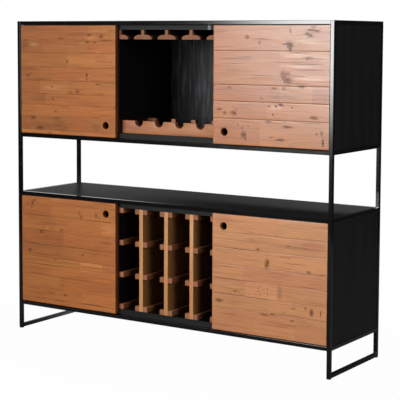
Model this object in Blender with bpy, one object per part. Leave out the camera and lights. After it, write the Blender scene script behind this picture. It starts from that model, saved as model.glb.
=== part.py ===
"""Bar cabinet: two plank-door boxes in a square-tube steel frame.

The frame stands on two side runners and carries a lower and an upper box with an open
bay between them. Each box has a door at each end and an open bay in the middle. The
upper bay has stemware rails and two notched bottle rests, the lower bay a rack for
bottles. Metres, +Z up. The origin is on the floor under the middle of the cabinet,
and the doors face -Y.
"""

import math

import bmesh
import bpy
from mathutils import Matrix, Vector

# Overall size
OVERALL_WIDTH = 1.600
OVERALL_DEPTH = 0.436
OVERALL_HEIGHT = 1.400

# Steel frame
TUBE = 0.016  # outside of the square tube
TUBE_WALL = 0.0015
TUBE_CORNER = 0.0012  # outside corner radius
UNDER_LOWER_BOX = 0.112  # floor to the underside of the lower box
BOX_HEIGHT = 0.520  # underside of a box's bottom rails to the top of its top rails
GLIDE_HEIGHT = 0.003
GLIDE_SPIGOT = 0.018

# Boxes
BOARD = 0.022  # ceiling, floor and partition boards
SIDE_RECESS = 0.002  # outer face of a side panel behind the outer face of the frame
BACK_PANEL = 0.009
BAY_WIDTH = 0.492  # middle bay, partition to partition
BOARD_EDGE = 0.0006  # eased edge of a board
EDGE = 0.0008  # eased edge of a door or a glide

# Doors
DOOR_THICKNESS = 0.022
DOOR_RECESS = 0.003  # door front behind the frame front
DOOR_GAP = 0.003  # round the door, to the posts and rails
DOOR_BACK_CLEARANCE = 0.002  # door back to the boards behind it
DOOR_SHORT = 0.004  # free edge of a door short of its partition's bay face
FINGER_HOLE_DIAMETER = 0.032
FINGER_HOLE_FROM_SIDE = 0.053
FINGER_HOLE_FROM_EDGE = 0.050
GROOVE_WIDTH = 0.0024  # V groove between planks
# Widths of the planks in each door from the top down, as they were ripped, before the
# set is brought to the door's height.
PLANKS = {
    "upper_left": (69, 52, 65, 59, 59, 49, 52, 61, 18),
    "upper_right": (102, 138, 67, 71, 106),
    "lower_left": (85, 66, 64, 58, 35, 49, 57, 50, 20),
    "lower_right": (74, 64, 68, 61, 64, 57, 96),
}

# Pivots: pins welded to the front rails, in bores in the doors' top and bottom edges
PIVOT_INSET = 0.006  # pin centre in from the door's outer edge
PIVOT_DEPTH = 0.0055  # pin centre behind the door's front face
PIN_DIAMETER = 0.004
PIN_BITE = 0.012  # length of pin inside the door
BOSS_DIAMETER = 0.009  # round boss that the door turns on

# Ball catches let into the doors' edges
CATCH_DIAMETER = 0.008
CATCH_LENGTH = 0.016
CATCH_FROM_SIDE = 0.025  # barrel centre to the door's free edge
BALL_DIAMETER = 0.005

# Stemware rails
GLASS_RAILS = 3  # whole rails, besides a half one at each partition
GLASS_SLOT = 0.032
GLASS_RAIL_LIP = 0.005
GLASS_RAIL_HEAD = 0.020
GLASS_STEM_WIDTH = 0.015
GLASS_STEM_HEIGHT = 0.020

# Bottle rests
BOTTLE_LANES = 4
LANE_PITCH = 0.105
REST_HEIGHT = 0.055
REST_THICKNESS = 0.022
NECK_NOTCH_DIAMETER = 0.042
NECK_NOTCH_WALL = 0.003  # straight part above the round of the neck notch
BODY_NOTCH_DIAMETER = 0.084
NECK_REST_FROM_FRONT = 0.048
BODY_REST_FROM_FRONT = 0.232

# Bottle rack
RACK_BOARDS = 3
RACK_BOARD = 0.019
RACK_PITCH = 0.130
CLEAT = 0.022  # square bottle cleats
CLEAT_ROWS = 4

# Cupboard shelves, housed in grooves
SHELF = 0.018
SHELF_SET_BACK = 0.011
HOUSING = 0.006  # depth of a shelf's groove

# Ledges and tabs welded inside the rails, which carry the floor boards
LEDGE_REACH = 0.030  # ledge along a front rail, under the floor board's front edge
LEDGE_SHORT = 0.002  # ledge short of each end of its rail
TAB_WIDTH = 0.030
TAB_REACH = 0.040
TAB_THICKNESS = 0.003  # of tabs and ledges
OUTER_TAB = 0.600  # outer tabs from the middle of the cabinet

# Small steel clip on the upper ceiling board
CLIP_FROM_PARTITION = 0.0315
CLIP_WIDTH = 0.014
CLIP_STEEL = 0.0012
CLIP_LIP = 0.006
CLIP_SHORT = 0.001  # clip short of the board's upper and lower faces

SEAT = 0.0003  # gap between pieces that touch
WELD = 0.0005  # depth that welded shapes share
OVERCUT = 0.001  # how far a cutter stands out of what it cuts
ROUND_SEGMENTS = 16
HOLE_SEGMENTS = 32

# Worked out from the sizes above
FRONT = -OVERALL_DEPTH / 2
REAR = OVERALL_DEPTH / 2
HALF_WIDTH = OVERALL_WIDTH / 2
INNER = HALF_WIDTH - TUBE  # inner faces of the posts
BEHIND_FRONT_RAIL = FRONT + TUBE
BEFORE_REAR_RAIL = REAR - TUBE
DOOR_FRONT = FRONT + DOOR_RECESS
DOOR_BACK = DOOR_FRONT + DOOR_THICKNESS
CARCASS_FRONT = DOOR_BACK + DOOR_BACK_CLEARANCE
CARCASS_REAR = BEFORE_REAR_RAIL
BAY_HALF = BAY_WIDTH / 2
CUPBOARD_FACE = BAY_HALF + BOARD  # partition's face inside a cupboard
BOX_BOTTOM = {"lower": UNDER_LOWER_BOX, "upper": OVERALL_HEIGHT - BOX_HEIGHT}
SIDES = {"left": -1, "right": 1}
DOORS = [(box, side) for box in ("upper", "lower") for side in SIDES]

X, Y, Z = Vector((1, 0, 0)), Vector((0, 1, 0)), Vector((0, 0, 1))
# For each direction of an extrusion, the world directions of the outline's two axes
OUTLINE_AXES = {"X": (Y, Z, X), "Y": (X, Z, -Y), "Z": (X, Y, Z)}


def floor_top(box):
    """Height of the top of a box's floor board."""
    return BOX_BOTTOM[box] + TUBE + BOARD


def ceiling_underside(box):
    """Height of the underside of a box's ceiling board."""
    return BOX_BOTTOM[box] + BOX_HEIGHT - TUBE - BOARD


def door_bottom(box):
    """Height of the bottom edge of a box's doors."""
    return BOX_BOTTOM[box] + TUBE + DOOR_GAP


def door_top(box):
    """Height of the top edge of a box's doors."""
    return BOX_BOTTOM[box] + BOX_HEIGHT - TUBE - DOOR_GAP


def hinge_axis(box, side):
    """A point on the hinge axis of a door, at the door's bottom edge."""
    return Vector((SIDES[side] * (INNER - DOOR_GAP - PIVOT_INSET), DOOR_FRONT + PIVOT_DEPTH, door_bottom(box)))


# Collections, materials and nodes


def clear_scene():
    """Remove what the file opened with."""
    for obj in list(bpy.data.objects):
        bpy.data.objects.remove(obj, do_unlink=True)


def new_collection(name):
    """Return a new collection linked to the scene."""
    collection = bpy.data.collections.new(name)
    bpy.context.scene.collection.children.link(collection)
    return collection


def linear(level):
    """Return the linear value of an sRGB level from 0 to 255."""
    level /= 255
    return level / 12.92 if level <= 0.04045 else ((level + 0.055) / 1.055) ** 2.4


def new_material(name, colour, roughness, metallic=0.0):
    """Return a Principled material from an sRGB colour."""
    material = bpy.data.materials.new(name)
    material.use_nodes = True
    shader = material.node_tree.nodes["Principled BSDF"]
    shader.inputs["Base Color"].default_value = (*(linear(c) for c in colour), 1)
    shader.inputs["Roughness"].default_value = roughness
    shader.inputs["Metallic"].default_value = metallic
    material.diffuse_color = shader.inputs["Base Color"].default_value
    return material


def new_node(name, shape, material, parent=None):
    """Make an object of a shape modelled in world coordinates.

    With a parent, the object's origin moves to the parent's, and the shape stays put.
    """
    bmesh.ops.recalc_face_normals(shape, faces=shape.faces)
    mesh = bpy.data.meshes.new(name)
    shape.to_mesh(mesh)
    shape.free()
    mesh.materials.append(material)
    obj = bpy.data.objects.new(name, mesh)
    PARTS.objects.link(obj)
    if parent:
        mesh.transform(Matrix.Translation(-parent.location))
        obj.parent = parent
    mesh.shade_smooth()
    mesh.set_sharp_from_angle(angle=math.radians(32))
    return obj


def new_cutter(name, shape):
    """Make a hidden object that only cuts or joins others."""
    bmesh.ops.recalc_face_normals(shape, faces=shape.faces)
    mesh = bpy.data.meshes.new(name)
    shape.to_mesh(mesh)
    shape.free()
    obj = bpy.data.objects.new(name, mesh)
    CUTTERS.objects.link(obj)
    obj.hide_render = True
    obj.display_type = "WIRE"
    return obj


def combine(obj, other, operation="DIFFERENCE"):
    """Cut another object out of a node, or join it on."""
    boolean = obj.modifiers.new(other.name, "BOOLEAN")
    boolean.solver = "EXACT"
    boolean.operation = operation
    boolean.object = other


# Shapes


def add_box(shape, low, high, edge=BOARD_EDGE):
    """Add a box between two corners, with eased edges."""
    low, high = Vector(low), Vector(high)
    place = Matrix.Translation((low + high) / 2) @ Matrix.Diagonal((*(high - low), 1))
    cube = bmesh.ops.create_cube(shape, size=1, matrix=place)
    if edge:
        edges = list({e for v in cube["verts"] for e in v.link_edges})
        bmesh.ops.bevel(shape, geom=edges, offset=edge, segments=1, affect="EDGES")


def add_cylinder(shape, start, end, radius, segments):
    """Add a cylinder between the centres of its two ends."""
    start, end = Vector(start), Vector(end)
    turn = Z.rotation_difference((end - start).normalized()).to_matrix().to_4x4()
    bmesh.ops.create_cone(
        shape,
        cap_ends=True,
        segments=segments,
        radius1=radius,
        radius2=radius,
        depth=(end - start).length,
        matrix=Matrix.Translation((start + end) / 2) @ turn,
    )


def add_turned(shape, start, direction, profile):
    """Add a turned solid that rises or hangs from a point.

    The profile is a list of radii and heights, from the start outwards.
    """
    rings = []
    for radius, height in profile:
        ring = []
        for i in range(ROUND_SEGMENTS):
            angle = math.tau * i / ROUND_SEGMENTS
            across = (radius * math.cos(angle), radius * math.sin(angle))
            ring.append(shape.verts.new((start[0] + across[0], start[1] + across[1], start[2] + direction * height)))
        rings.append(ring)
    for below, above in zip(rings, rings[1:]):
        for i in range(ROUND_SEGMENTS):
            j = (i + 1) % ROUND_SEGMENTS
            shape.faces.new((below[i], below[j], above[j], above[i]))
    shape.faces.new(rings[0][::-1])
    shape.faces.new(rings[-1])


def round_edges(shape, radius):
    """Round every sharp outer edge of a shape and leave its inner corners square."""
    bmesh.ops.recalc_face_normals(shape, faces=shape.faces)
    sharp = [e for e in shape.edges if e.is_convex and e.calc_face_angle(0) > math.radians(30)]
    bmesh.ops.bevel(shape, geom=sharp, offset=radius, segments=2, profile=0.5, affect="EDGES")


def arc(centre, radius, start, end, steps):
    """Return points on an arc in the outline's plane, angles in degrees."""
    angles = [math.radians(start + (end - start) * i / steps) for i in range(steps + 1)]
    return [(centre[0] + radius * math.cos(a), centre[1] + radius * math.sin(a)) for a in angles]


def rounded_square(centre, width, radius):
    """Return the outline of a square with round corners."""
    reach = width / 2 - radius
    corners = [(1, 1, 0), (-1, 1, 90), (-1, -1, 180), (1, -1, 270)]
    points = []
    for su, sv, angle in corners:
        middle = (centre[0] + su * reach, centre[1] + sv * reach)
        points += arc(middle, radius, angle, angle + 90, 2)
    return points


def add_outline(shape, outlines, start, end, axis):
    """Add a flat outline, with any inner outlines as holes, extruded along a world axis."""
    curve = bpy.data.curves.new("outline", "CURVE")
    curve.dimensions = "2D"
    curve.fill_mode = "BOTH"
    curve.extrude = abs(end - start) / 2
    for points in outlines:
        spline = curve.splines.new("POLY")
        spline.points.add(len(points) - 1)
        for point, (u, v) in zip(spline.points, points):
            point.co = (u, v, 0, 1)
        spline.use_cyclic_u = True
    obj = bpy.data.objects.new("outline", curve)
    CUTTERS.objects.link(obj)
    evaluated = obj.evaluated_get(bpy.context.evaluated_depsgraph_get())
    mesh = bpy.data.meshes.new_from_object(evaluated)
    bpy.data.objects.remove(obj, do_unlink=True)
    bpy.data.curves.remove(curve)
    u, v, w = OUTLINE_AXES[axis]
    turn = Matrix((u, v, w)).transposed().to_4x4()
    along = {"X": X, "Y": Y, "Z": Z}[axis] * (start + end) / 2
    mesh.transform(Matrix.Translation(along) @ turn)
    before = set(shape.verts)
    shape.from_mesh(mesh)
    bpy.data.meshes.remove(mesh)
    added = [vert for vert in shape.verts if vert not in before]
    bmesh.ops.remove_doubles(shape, verts=added, dist=0.00001)


def add_tube(shape, centre, start, end, axis):
    """Add a length of square tube, open at both ends."""
    bore = TUBE - 2 * TUBE_WALL
    inner_corner = max(TUBE_CORNER - TUBE_WALL, TUBE_CORNER / 4)
    outlines = [rounded_square(centre, TUBE, TUBE_CORNER), rounded_square(centre, bore, inner_corner)]
    add_outline(shape, outlines, start, end, axis)


# Steel frame


def rail_heights():
    """Return the heights of the middle of the rails, by level."""
    return {
        "lower_box": BOX_BOTTOM["lower"] + TUBE / 2,
        "counter": BOX_BOTTOM["lower"] + BOX_HEIGHT - TUBE / 2,
        "upper_box": BOX_BOTTOM["upper"] + TUBE / 2,
        "top": BOX_BOTTOM["upper"] + BOX_HEIGHT - TUBE / 2,
    }


def frame_windows(spread):
    """Return the openings of a side frame as rectangles in Y and Z, widened by a spread."""
    reach = BEFORE_REAR_RAIL + spread
    heights = [GLIDE_HEIGHT + TUBE / 2, *rail_heights().values()]
    windows = []
    for below, above in zip(heights, heights[1:]):
        low, high = below + TUBE / 2 - spread, above - TUBE / 2 + spread
        windows.append([(-reach, low), (reach, low), (reach, high), (-reach, high)])
    return windows


def build_side_frames():
    """Side frames, each two posts, four rails and a floor runner, welded from tube.

    The tubes are hollow, and the bores come out at the feet of the posts.
    """
    y, z0, z1 = REAR, GLIDE_HEIGHT, OVERALL_HEIGHT
    outside = [(-y, z0), (y, z0), (y, z1), (-y, z1)]
    y_out, y_in = REAR - TUBE_WALL, BEFORE_REAR_RAIL + TUBE_WALL
    foot, sole, top = z0 - TUBE, z0 + TUBE_WALL, z1 - TUBE_WALL
    inside = [(-y_out, foot), (-y_in, foot), (-y_in, sole), (y_in, sole)]
    inside += [(y_in, foot), (y_out, foot), (y_out, top), (-y_out, top)]
    for side, sx in SIDES.items():
        x0, x1 = span_x(sx, INNER, HALF_WIDTH)
        shape = bmesh.new()
        add_outline(shape, [outside, *frame_windows(0)], x0, x1, "X")
        round_edges(shape, TUBE_CORNER)
        frame = new_node(f"side_frame_{side}", shape, STEEL)
        bore = bmesh.new()
        add_outline(bore, [inside, *frame_windows(TUBE_WALL)], x0 + TUBE_WALL, x1 - TUBE_WALL, "X")
        combine(frame, new_cutter(f"frame_bore_{side}", bore))


def build_long_rails():
    """Front rails with their door pivots, and rear rails; both carry the floors from below."""
    span = INNER - SEAT
    for level, z in rail_heights().items():
        for end, y in (("front", FRONT + TUBE / 2), ("rear", REAR - TUBE / 2)):
            shape = bmesh.new()
            add_tube(shape, (y, z), -span, span, "X")
            rail = new_node(f"{end}_rail_{level}", shape, STEEL)
            welded = bmesh.new()
            if level in ("lower_box", "upper_box"):
                add_supports(welded, end, z + TUBE / 2)
            if end == "front":
                add_pivots(welded, level)
            if welded.verts:
                combine(rail, new_cutter(f"welded_to_{end}_rail_{level}", welded), "UNION")
            else:
                welded.free()


def add_supports(shape, end, rail_top):
    """Add what carries a floor board: a ledge along a front rail, tabs on a rear rail."""
    top = rail_top - SEAT
    if end == "front":
        reach = INNER - SEAT - LEDGE_SHORT
        low = (-reach, BEHIND_FRONT_RAIL - WELD, top - TAB_THICKNESS)
        add_box(shape, low, (reach, BEHIND_FRONT_RAIL + LEDGE_REACH, top), edge=0)
        return
    start, stop = BEFORE_REAR_RAIL - TAB_REACH, BEFORE_REAR_RAIL + WELD
    for sx in (-1, 1):
        for distance in (BAY_HALF + BOARD / 2, OUTER_TAB):
            x = sx * distance
            low = (x - TAB_WIDTH / 2, start, top - TAB_THICKNESS)
            add_box(shape, low, (x + TAB_WIDTH / 2, stop, top), edge=0)


def add_pivots(shape, level):
    """Add the bosses and pins of one front rail, for the two doors above or below it."""
    box = "lower" if level in ("lower_box", "counter") else "upper"
    into_door = 1 if level in ("lower_box", "upper_box") else -1
    edge = door_bottom(box) if into_door > 0 else door_top(box)
    rail_face = edge - into_door * DOOR_GAP
    for side in SIDES:
        x, y, _ = hinge_axis(box, side)
        start = (x, y, rail_face - into_door * WELD)
        add_turned(shape, start, into_door, [
            (BOSS_DIAMETER / 2, 0),
            (BOSS_DIAMETER / 2, DOOR_GAP + WELD - SEAT),
            (PIN_DIAMETER / 2, DOOR_GAP + WELD - SEAT),
            (PIN_DIAMETER / 2, DOOR_GAP + WELD + PIN_BITE),
        ])


def build_glides():
    """Plastic glides, each with a spigot up inside its post."""
    half = TUBE / 2 - TUBE_WALL - SEAT
    top = GLIDE_HEIGHT - SEAT
    reach = TUBE / 2 - SEAT
    for side, sx in SIDES.items():
        for end, sy in (("front", -1), ("rear", 1)):
            x, y = sx * (HALF_WIDTH - TUBE / 2), sy * (REAR - TUBE / 2)
            shape = bmesh.new()
            add_box(shape, (x - reach, y - reach, 0), (x + reach, y + reach, top), edge=EDGE)
            spigot = bmesh.new()
            high = (x + half, y + half, GLIDE_HEIGHT + GLIDE_SPIGOT)
            add_box(spigot, (x - half, y - half, top / 2), high, edge=0)
            glide = new_node(f"glide_{end}_{side}", shape, PLASTIC)
            combine(glide, new_cutter(f"spigot_{end}_{side}", spigot), "UNION")


# Boxes


def build_box(box):
    """Boards, partitions and panels of one box."""
    bottom = BOX_BOTTOM[box]
    rails_top = bottom + BOX_HEIGHT
    deck_name = {"upper": "top_deck_board", "lower": "counter_board"}[box]

    shape = bmesh.new()
    reach = REAR - TUBE - SEAT
    span = INNER - SEAT
    add_box(shape, (-span, -reach, rails_top - TUBE), (span, reach, rails_top))
    new_node(deck_name, shape, BLACK_BOARD)

    shape = bmesh.new()
    low = (-span, CARCASS_FRONT, ceiling_underside(box))
    add_box(shape, low, (span, CARCASS_REAR, rails_top - TUBE - SEAT))
    new_node(f"{box}_ceiling_board", shape, BLACK_BOARD)

    shape = bmesh.new()
    add_box(shape, (-span, CARCASS_FRONT, bottom + TUBE), (span, CARCASS_REAR, floor_top(box)))
    new_node(f"{box}_floor_board", shape, BLACK_BOARD)

    shape = bmesh.new()
    low = (-span, CARCASS_REAR + SEAT, bottom + TUBE + SEAT)
    add_box(shape, low, (span, CARCASS_REAR + SEAT + BACK_PANEL, rails_top - TUBE - SEAT))
    new_node(f"{box}_back_panel", shape, BLACK_BOARD)

    for side, sx in SIDES.items():
        build_side_panel(box, side, sx)
        build_partition(box, side, sx)


def span_x(sx, inner, outer):
    """Return the low and high X of something between two distances from the middle."""
    return min(sx * inner, sx * outer), max(sx * inner, sx * outer)


def build_side_panel(box, side, sx):
    """A side panel in the frame, grooved for its cupboard's shelf."""
    reach = REAR - TUBE - SEAT
    x0, x1 = span_x(sx, INNER, HALF_WIDTH - SIDE_RECESS)
    shape = bmesh.new()
    low = (x0, -reach, BOX_BOTTOM[box] + TUBE + SEAT)
    add_box(shape, low, (x1, reach, BOX_BOTTOM[box] + BOX_HEIGHT - TUBE - SEAT))
    panel = new_node(f"{box}_side_panel_{side}", shape, BLACK_BOARD)
    if box == "lower":
        combine(panel, shelf_housing(f"housing_in_side_panel_{side}", sx, INNER - WELD, INNER + HOUSING))


def build_partition(box, side, sx):
    """A partition between a cupboard and the middle bay."""
    x0, x1 = span_x(sx, BAY_HALF, CUPBOARD_FACE)
    shape = bmesh.new()
    low = (x0, CARCASS_FRONT, floor_top(box) + SEAT)
    add_box(shape, low, (x1, CARCASS_REAR - SEAT, ceiling_underside(box) - SEAT))
    partition = new_node(f"{box}_partition_{side}", shape, BLACK_BOARD)
    if box == "lower":
        inner, outer = CUPBOARD_FACE - HOUSING, CUPBOARD_FACE + WELD
        combine(partition, shelf_housing(f"housing_in_partition_{side}", sx, inner, outer))


def shelf_height():
    """Return the height of the underside of a shelf, halfway up the cupboard."""
    return (floor_top("lower") + ceiling_underside("lower") - SHELF) / 2


def shelf_housing(name, sx, inner, outer):
    """Return a cutter for the groove that one end of a shelf sits in."""
    x0, x1 = span_x(sx, inner, outer)
    shape = bmesh.new()
    low = (x0, CARCASS_FRONT + SHELF_SET_BACK - SEAT, shelf_height() - SEAT)
    add_box(shape, low, (x1, REAR, shelf_height() + SHELF + SEAT), edge=0)
    return new_cutter(name, shape)


def build_shelves():
    """A shelf behind each lower door, housed in the partition and the side panel."""
    for side, sx in SIDES.items():
        x0, x1 = span_x(sx, CUPBOARD_FACE - HOUSING + SEAT, INNER + HOUSING - SEAT)
        shape = bmesh.new()
        low = (x0, CARCASS_FRONT + SHELF_SET_BACK, shelf_height())
        add_box(shape, low, (x1, CARCASS_REAR - SEAT, shelf_height() + SHELF))
        new_node(f"lower_shelf_{side}", shape, BLACK_BOARD)


# Fittings of the upper bay


def glass_rail_outline(centre, half):
    """Return one side of a stemware rail: flat below, domed above, up the stem.

    The points run from the rail's middle underside outwards and up, for half = 1 or -1.
    """
    reach = glass_rail_width() / 2
    stem = GLASS_STEM_WIDTH / 2
    top = ceiling_underside("upper") - SEAT
    low = top - GLASS_STEM_HEIGHT - GLASS_RAIL_HEAD
    points = [(centre + half * reach, low)]
    for i in range(7):
        angle = math.radians(90 * i / 6)
        across = stem + (reach - stem) * math.cos(angle)
        up = GLASS_RAIL_LIP + (GLASS_RAIL_HEAD - GLASS_RAIL_LIP) * math.sin(angle)
        points.append((centre + half * across, low + up))
    points.append((centre + half * stem, top))
    return points


def glass_rail_width():
    """Return the width of a rail that leaves a glass slot on each side of it."""
    return BAY_WIDTH / (GLASS_RAILS + 1) - GLASS_SLOT


def build_glass_rails():
    """Rails that hold stemware by the foot: whole ones, and halves at the partitions."""
    top = ceiling_underside("upper") - SEAT
    low = top - GLASS_STEM_HEIGHT - GLASS_RAIL_HEAD
    pitch = BAY_WIDTH / (GLASS_RAILS + 1)
    for number in range(GLASS_RAILS):
        centre = -BAY_HALF + pitch * (number + 1)
        right = glass_rail_outline(centre, 1)
        left = glass_rail_outline(centre, -1)
        shape = bmesh.new()
        add_outline(shape, [right + left[::-1]], CARCASS_FRONT, CARCASS_REAR - SEAT, "Y")
        new_node(f"glass_rail_{number + 1}", shape, RACK_WOOD)
    for side, sx in SIDES.items():
        wall = sx * (BAY_HALF - SEAT)
        half = glass_rail_outline(sx * BAY_HALF, -sx)
        shape = bmesh.new()
        add_outline(shape, [[(wall, low), *half, (wall, top)]], CARCASS_FRONT, CARCASS_REAR - SEAT, "Y")
        new_node(f"glass_rail_half_{side}", shape, RACK_WOOD)


def lane_centres():
    """Return the X of the bottle lanes."""
    return [(i - (BOTTLE_LANES - 1) / 2) * LANE_PITCH for i in range(BOTTLE_LANES)]


def rest_outline(diameter, wall):
    """Return the outline of a bottle rest with a round-bottomed notch for each lane."""
    base = floor_top("upper") + SEAT
    top = base + REST_HEIGHT
    span = BAY_HALF - SEAT
    points = [(span, base), (span, top)]
    for centre in reversed(lane_centres()):
        if wall:
            points.append((centre + diameter / 2, top))
        points += arc((centre, top - wall), diameter / 2, 0, -180, 12)
        if wall:
            points.append((centre - diameter / 2, top))
    return points + [(-span, top), (-span, base)]


def build_bottle_rests():
    """The neck rest near the front and the body rest behind it."""
    rests = {
        "bottle_neck_rest": (NECK_NOTCH_DIAMETER, NECK_NOTCH_WALL, NECK_REST_FROM_FRONT),
        "bottle_body_rest": (BODY_NOTCH_DIAMETER, 0, BODY_REST_FROM_FRONT),
    }
    for name, (diameter, wall, distance) in rests.items():
        shape = bmesh.new()
        start = FRONT + distance
        add_outline(shape, [rest_outline(diameter, wall)], start, start + REST_THICKNESS, "Y")
        new_node(name, shape, RACK_WOOD)


def build_header_clip():
    """A small strip of bent steel on the front edge of the upper ceiling board."""
    x = BAY_HALF - CLIP_FROM_PARTITION
    face = CARCASS_FRONT - SEAT
    top = ceiling_underside("upper") + BOARD - CLIP_SHORT
    low = ceiling_underside("upper") + CLIP_SHORT
    outline = [
        (face, low),
        (face, top),
        (face - CLIP_STEEL, top),
        (face - CLIP_STEEL, low + CLIP_STEEL),
        (face - CLIP_LIP, low + CLIP_STEEL),
        (face - CLIP_LIP, low),
    ]
    shape = bmesh.new()
    add_outline(shape, [outline], x - CLIP_WIDTH / 2, x + CLIP_WIDTH / 2, "X")
    new_node("header_clip", shape, ZINC)


# Bottle rack of the lower bay


def cleat_heights():
    """Return the low Z of each row of cleats, from the floor board to the ceiling board."""
    low = floor_top("lower") + SEAT
    high = ceiling_underside("lower") - SEAT
    pitch = (high - low - CLEAT) / (CLEAT_ROWS - 1)
    return [low + row * pitch for row in range(CLEAT_ROWS)]


def build_rack():
    """Upright boards with their cleats glued on, and cleats on the partitions."""
    for number in range(RACK_BOARDS):
        centre = (number - (RACK_BOARDS - 1) / 2) * RACK_PITCH
        face, tip = RACK_BOARD / 2, RACK_BOARD / 2 + CLEAT
        edge = []
        for z in cleat_heights():
            edge += [(face, z), (tip, z), (tip, z + CLEAT), (face, z + CLEAT)]
        edge = edge[1:-1]  # the lowest and highest cleats end flush with the board
        right = [(centre + u, z) for u, z in edge]
        left = [(centre - u, z) for u, z in reversed(edge)]
        shape = bmesh.new()
        add_outline(shape, [right + left], CARCASS_FRONT, CARCASS_REAR - SEAT, "Y")
        new_node(f"rack_board_{number + 1}", shape, RACK_WOOD)
    for side, sx in SIDES.items():
        x0, x1 = span_x(sx, BAY_HALF - SEAT - CLEAT, BAY_HALF - SEAT)
        for row, z in enumerate(cleat_heights(), 1):
            shape = bmesh.new()
            add_box(shape, (x0, CARCASS_FRONT, z), (x1, CARCASS_REAR - SEAT, z + CLEAT))
            new_node(f"wall_cleat_{side}_{row}", shape, RACK_WOOD)


# Doors


def hinge_empty(box, side):
    """Return an empty on the door's hinge axis."""
    empty = bpy.data.objects.new(f"hinge_{box}_{side}", None)
    empty.location = hinge_axis(box, side)
    empty.empty_display_size = 0.05
    PARTS.objects.link(empty)
    bpy.context.view_layer.update()
    return empty


def add_grooves(shape, box, side, x0, x1):
    """Add V-groove cutters between the planks on the door's front face."""
    widths = PLANKS[f"{box}_{side}"]
    scale = (door_top(box) - door_bottom(box)) / sum(widths)
    z = door_top(box)
    half = GROOVE_WIDTH / 2
    for width in widths[:-1]:
        z -= width * scale
        diamond = [(DOOR_FRONT, z - half), (DOOR_FRONT + half, z), (DOOR_FRONT, z + half), (DOOR_FRONT - half, z)]
        add_outline(shape, [diamond], x0 - OVERCUT, x1 + OVERCUT, "X")


def build_door(box, side):
    """A plank door with its finger hole, its pivot bores and its ball catch."""
    sx = SIDES[side]
    parent = hinge_empty(box, side)
    axis = parent.location
    low, high = door_bottom(box), door_top(box)
    free = BAY_HALF + DOOR_SHORT
    x0, x1 = span_x(sx, free, INNER - DOOR_GAP)

    shape = bmesh.new()
    add_box(shape, (x0, DOOR_FRONT, low), (x1, DOOR_BACK, high), edge=EDGE)
    door = new_node(f"door_{box}_{side}", shape, DOOR_WOOD, parent)

    grooves = bmesh.new()
    add_grooves(grooves, box, side, x0, x1)
    combine(door, new_cutter(f"grooves_{box}_{side}", grooves))

    hole_x = sx * (free + FINGER_HOLE_FROM_SIDE)
    hole_z = low + FINGER_HOLE_FROM_EDGE if box == "upper" else high - FINGER_HOLE_FROM_EDGE
    hole = bmesh.new()
    ends = (hole_x, DOOR_FRONT - OVERCUT, hole_z), (hole_x, DOOR_BACK + OVERCUT, hole_z)
    add_cylinder(hole, *ends, FINGER_HOLE_DIAMETER / 2, HOLE_SEGMENTS)
    combine(door, new_cutter(f"finger_hole_{box}_{side}", hole))

    bores = bmesh.new()
    for edge, inward in ((low, 1), (high, -1)):
        start = (axis.x, axis.y, edge - inward * OVERCUT)
        depth = OVERCUT + PIN_BITE + SEAT
        add_turned(bores, start, inward, [(PIN_DIAMETER / 2 + SEAT, 0), (PIN_DIAMETER / 2 + SEAT, depth)])
    # The catch is in the edge away from the finger hole.
    edge, inward = (high, -1) if box == "upper" else (low, 1)
    catch_x = sx * (free + CATCH_FROM_SIDE)
    catch_y = (DOOR_FRONT + DOOR_BACK) / 2
    radius = CATCH_DIAMETER / 2
    start = (catch_x, catch_y, edge - inward * OVERCUT)
    add_turned(bores, start, inward, [(radius + SEAT, 0), (radius + SEAT, OVERCUT + CATCH_LENGTH + SEAT)])
    combine(door, new_cutter(f"bores_{box}_{side}", bores))

    catch = bmesh.new()
    start = (catch_x, catch_y, edge + inward * CATCH_LENGTH)
    add_turned(catch, start, -inward, ball_catch_profile())
    new_node(f"ball_catch_{box}_{side}", catch, ZINC, parent)


def ball_catch_profile():
    """Return the barrel and ball of a catch; the ball reaches across the door's gap."""
    profile = [(CATCH_DIAMETER / 2, 0), (CATCH_DIAMETER / 2, CATCH_LENGTH)]
    ball = BALL_DIAMETER / 2
    middle = CATCH_LENGTH + DOOR_GAP - SEAT - ball
    for i in range(6):
        angle = math.radians(80 * i / 5)
        if middle + ball * math.sin(angle) > CATCH_LENGTH:
            profile.append((ball * math.cos(angle), middle + ball * math.sin(angle)))
    return profile


def main():
    """Build the cabinet."""
    build_side_frames()
    build_long_rails()
    build_glides()
    for box in BOX_BOTTOM:
        build_box(box)
    build_shelves()
    build_glass_rails()
    build_bottle_rests()
    build_header_clip()
    build_rack()
    for box, side in DOORS:
        build_door(box, side)


clear_scene()
PARTS = new_collection("bar_cabinet")
CUTTERS = new_collection("cutters")
STEEL = new_material("black_powder_coat", (28, 28, 30), 0.42, 0.0)
BLACK_BOARD = new_material("black_stained_board", (34, 33, 34), 0.5)
DOOR_WOOD = new_material("reclaimed_pine", (186, 122, 84), 0.55)
RACK_WOOD = new_material("planed_pine", (190, 120, 80), 0.55)
ZINC = new_material("zinc_plated_steel", (190, 190, 192), 0.35, 1.0)
PLASTIC = new_material("black_plastic", (22, 22, 22), 0.5)
main()
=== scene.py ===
"""Blender scene of a bar cabinet: a black tube frame, two black boxes and four reclaimed pine doors.

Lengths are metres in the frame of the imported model: X along the front, Y from front to back, Z up. The
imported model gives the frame, the boards and the fittings. The doors, the stemware rails, the bottle rests
and the bottle rack are made here in full, each stick and plank as a piece of its own.
"""

import logging
from dataclasses import dataclass, field
from enum import Enum
from typing import Any, Sequence

import bpy
import numpy as np
from mathutils import Matrix, Vector

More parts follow.
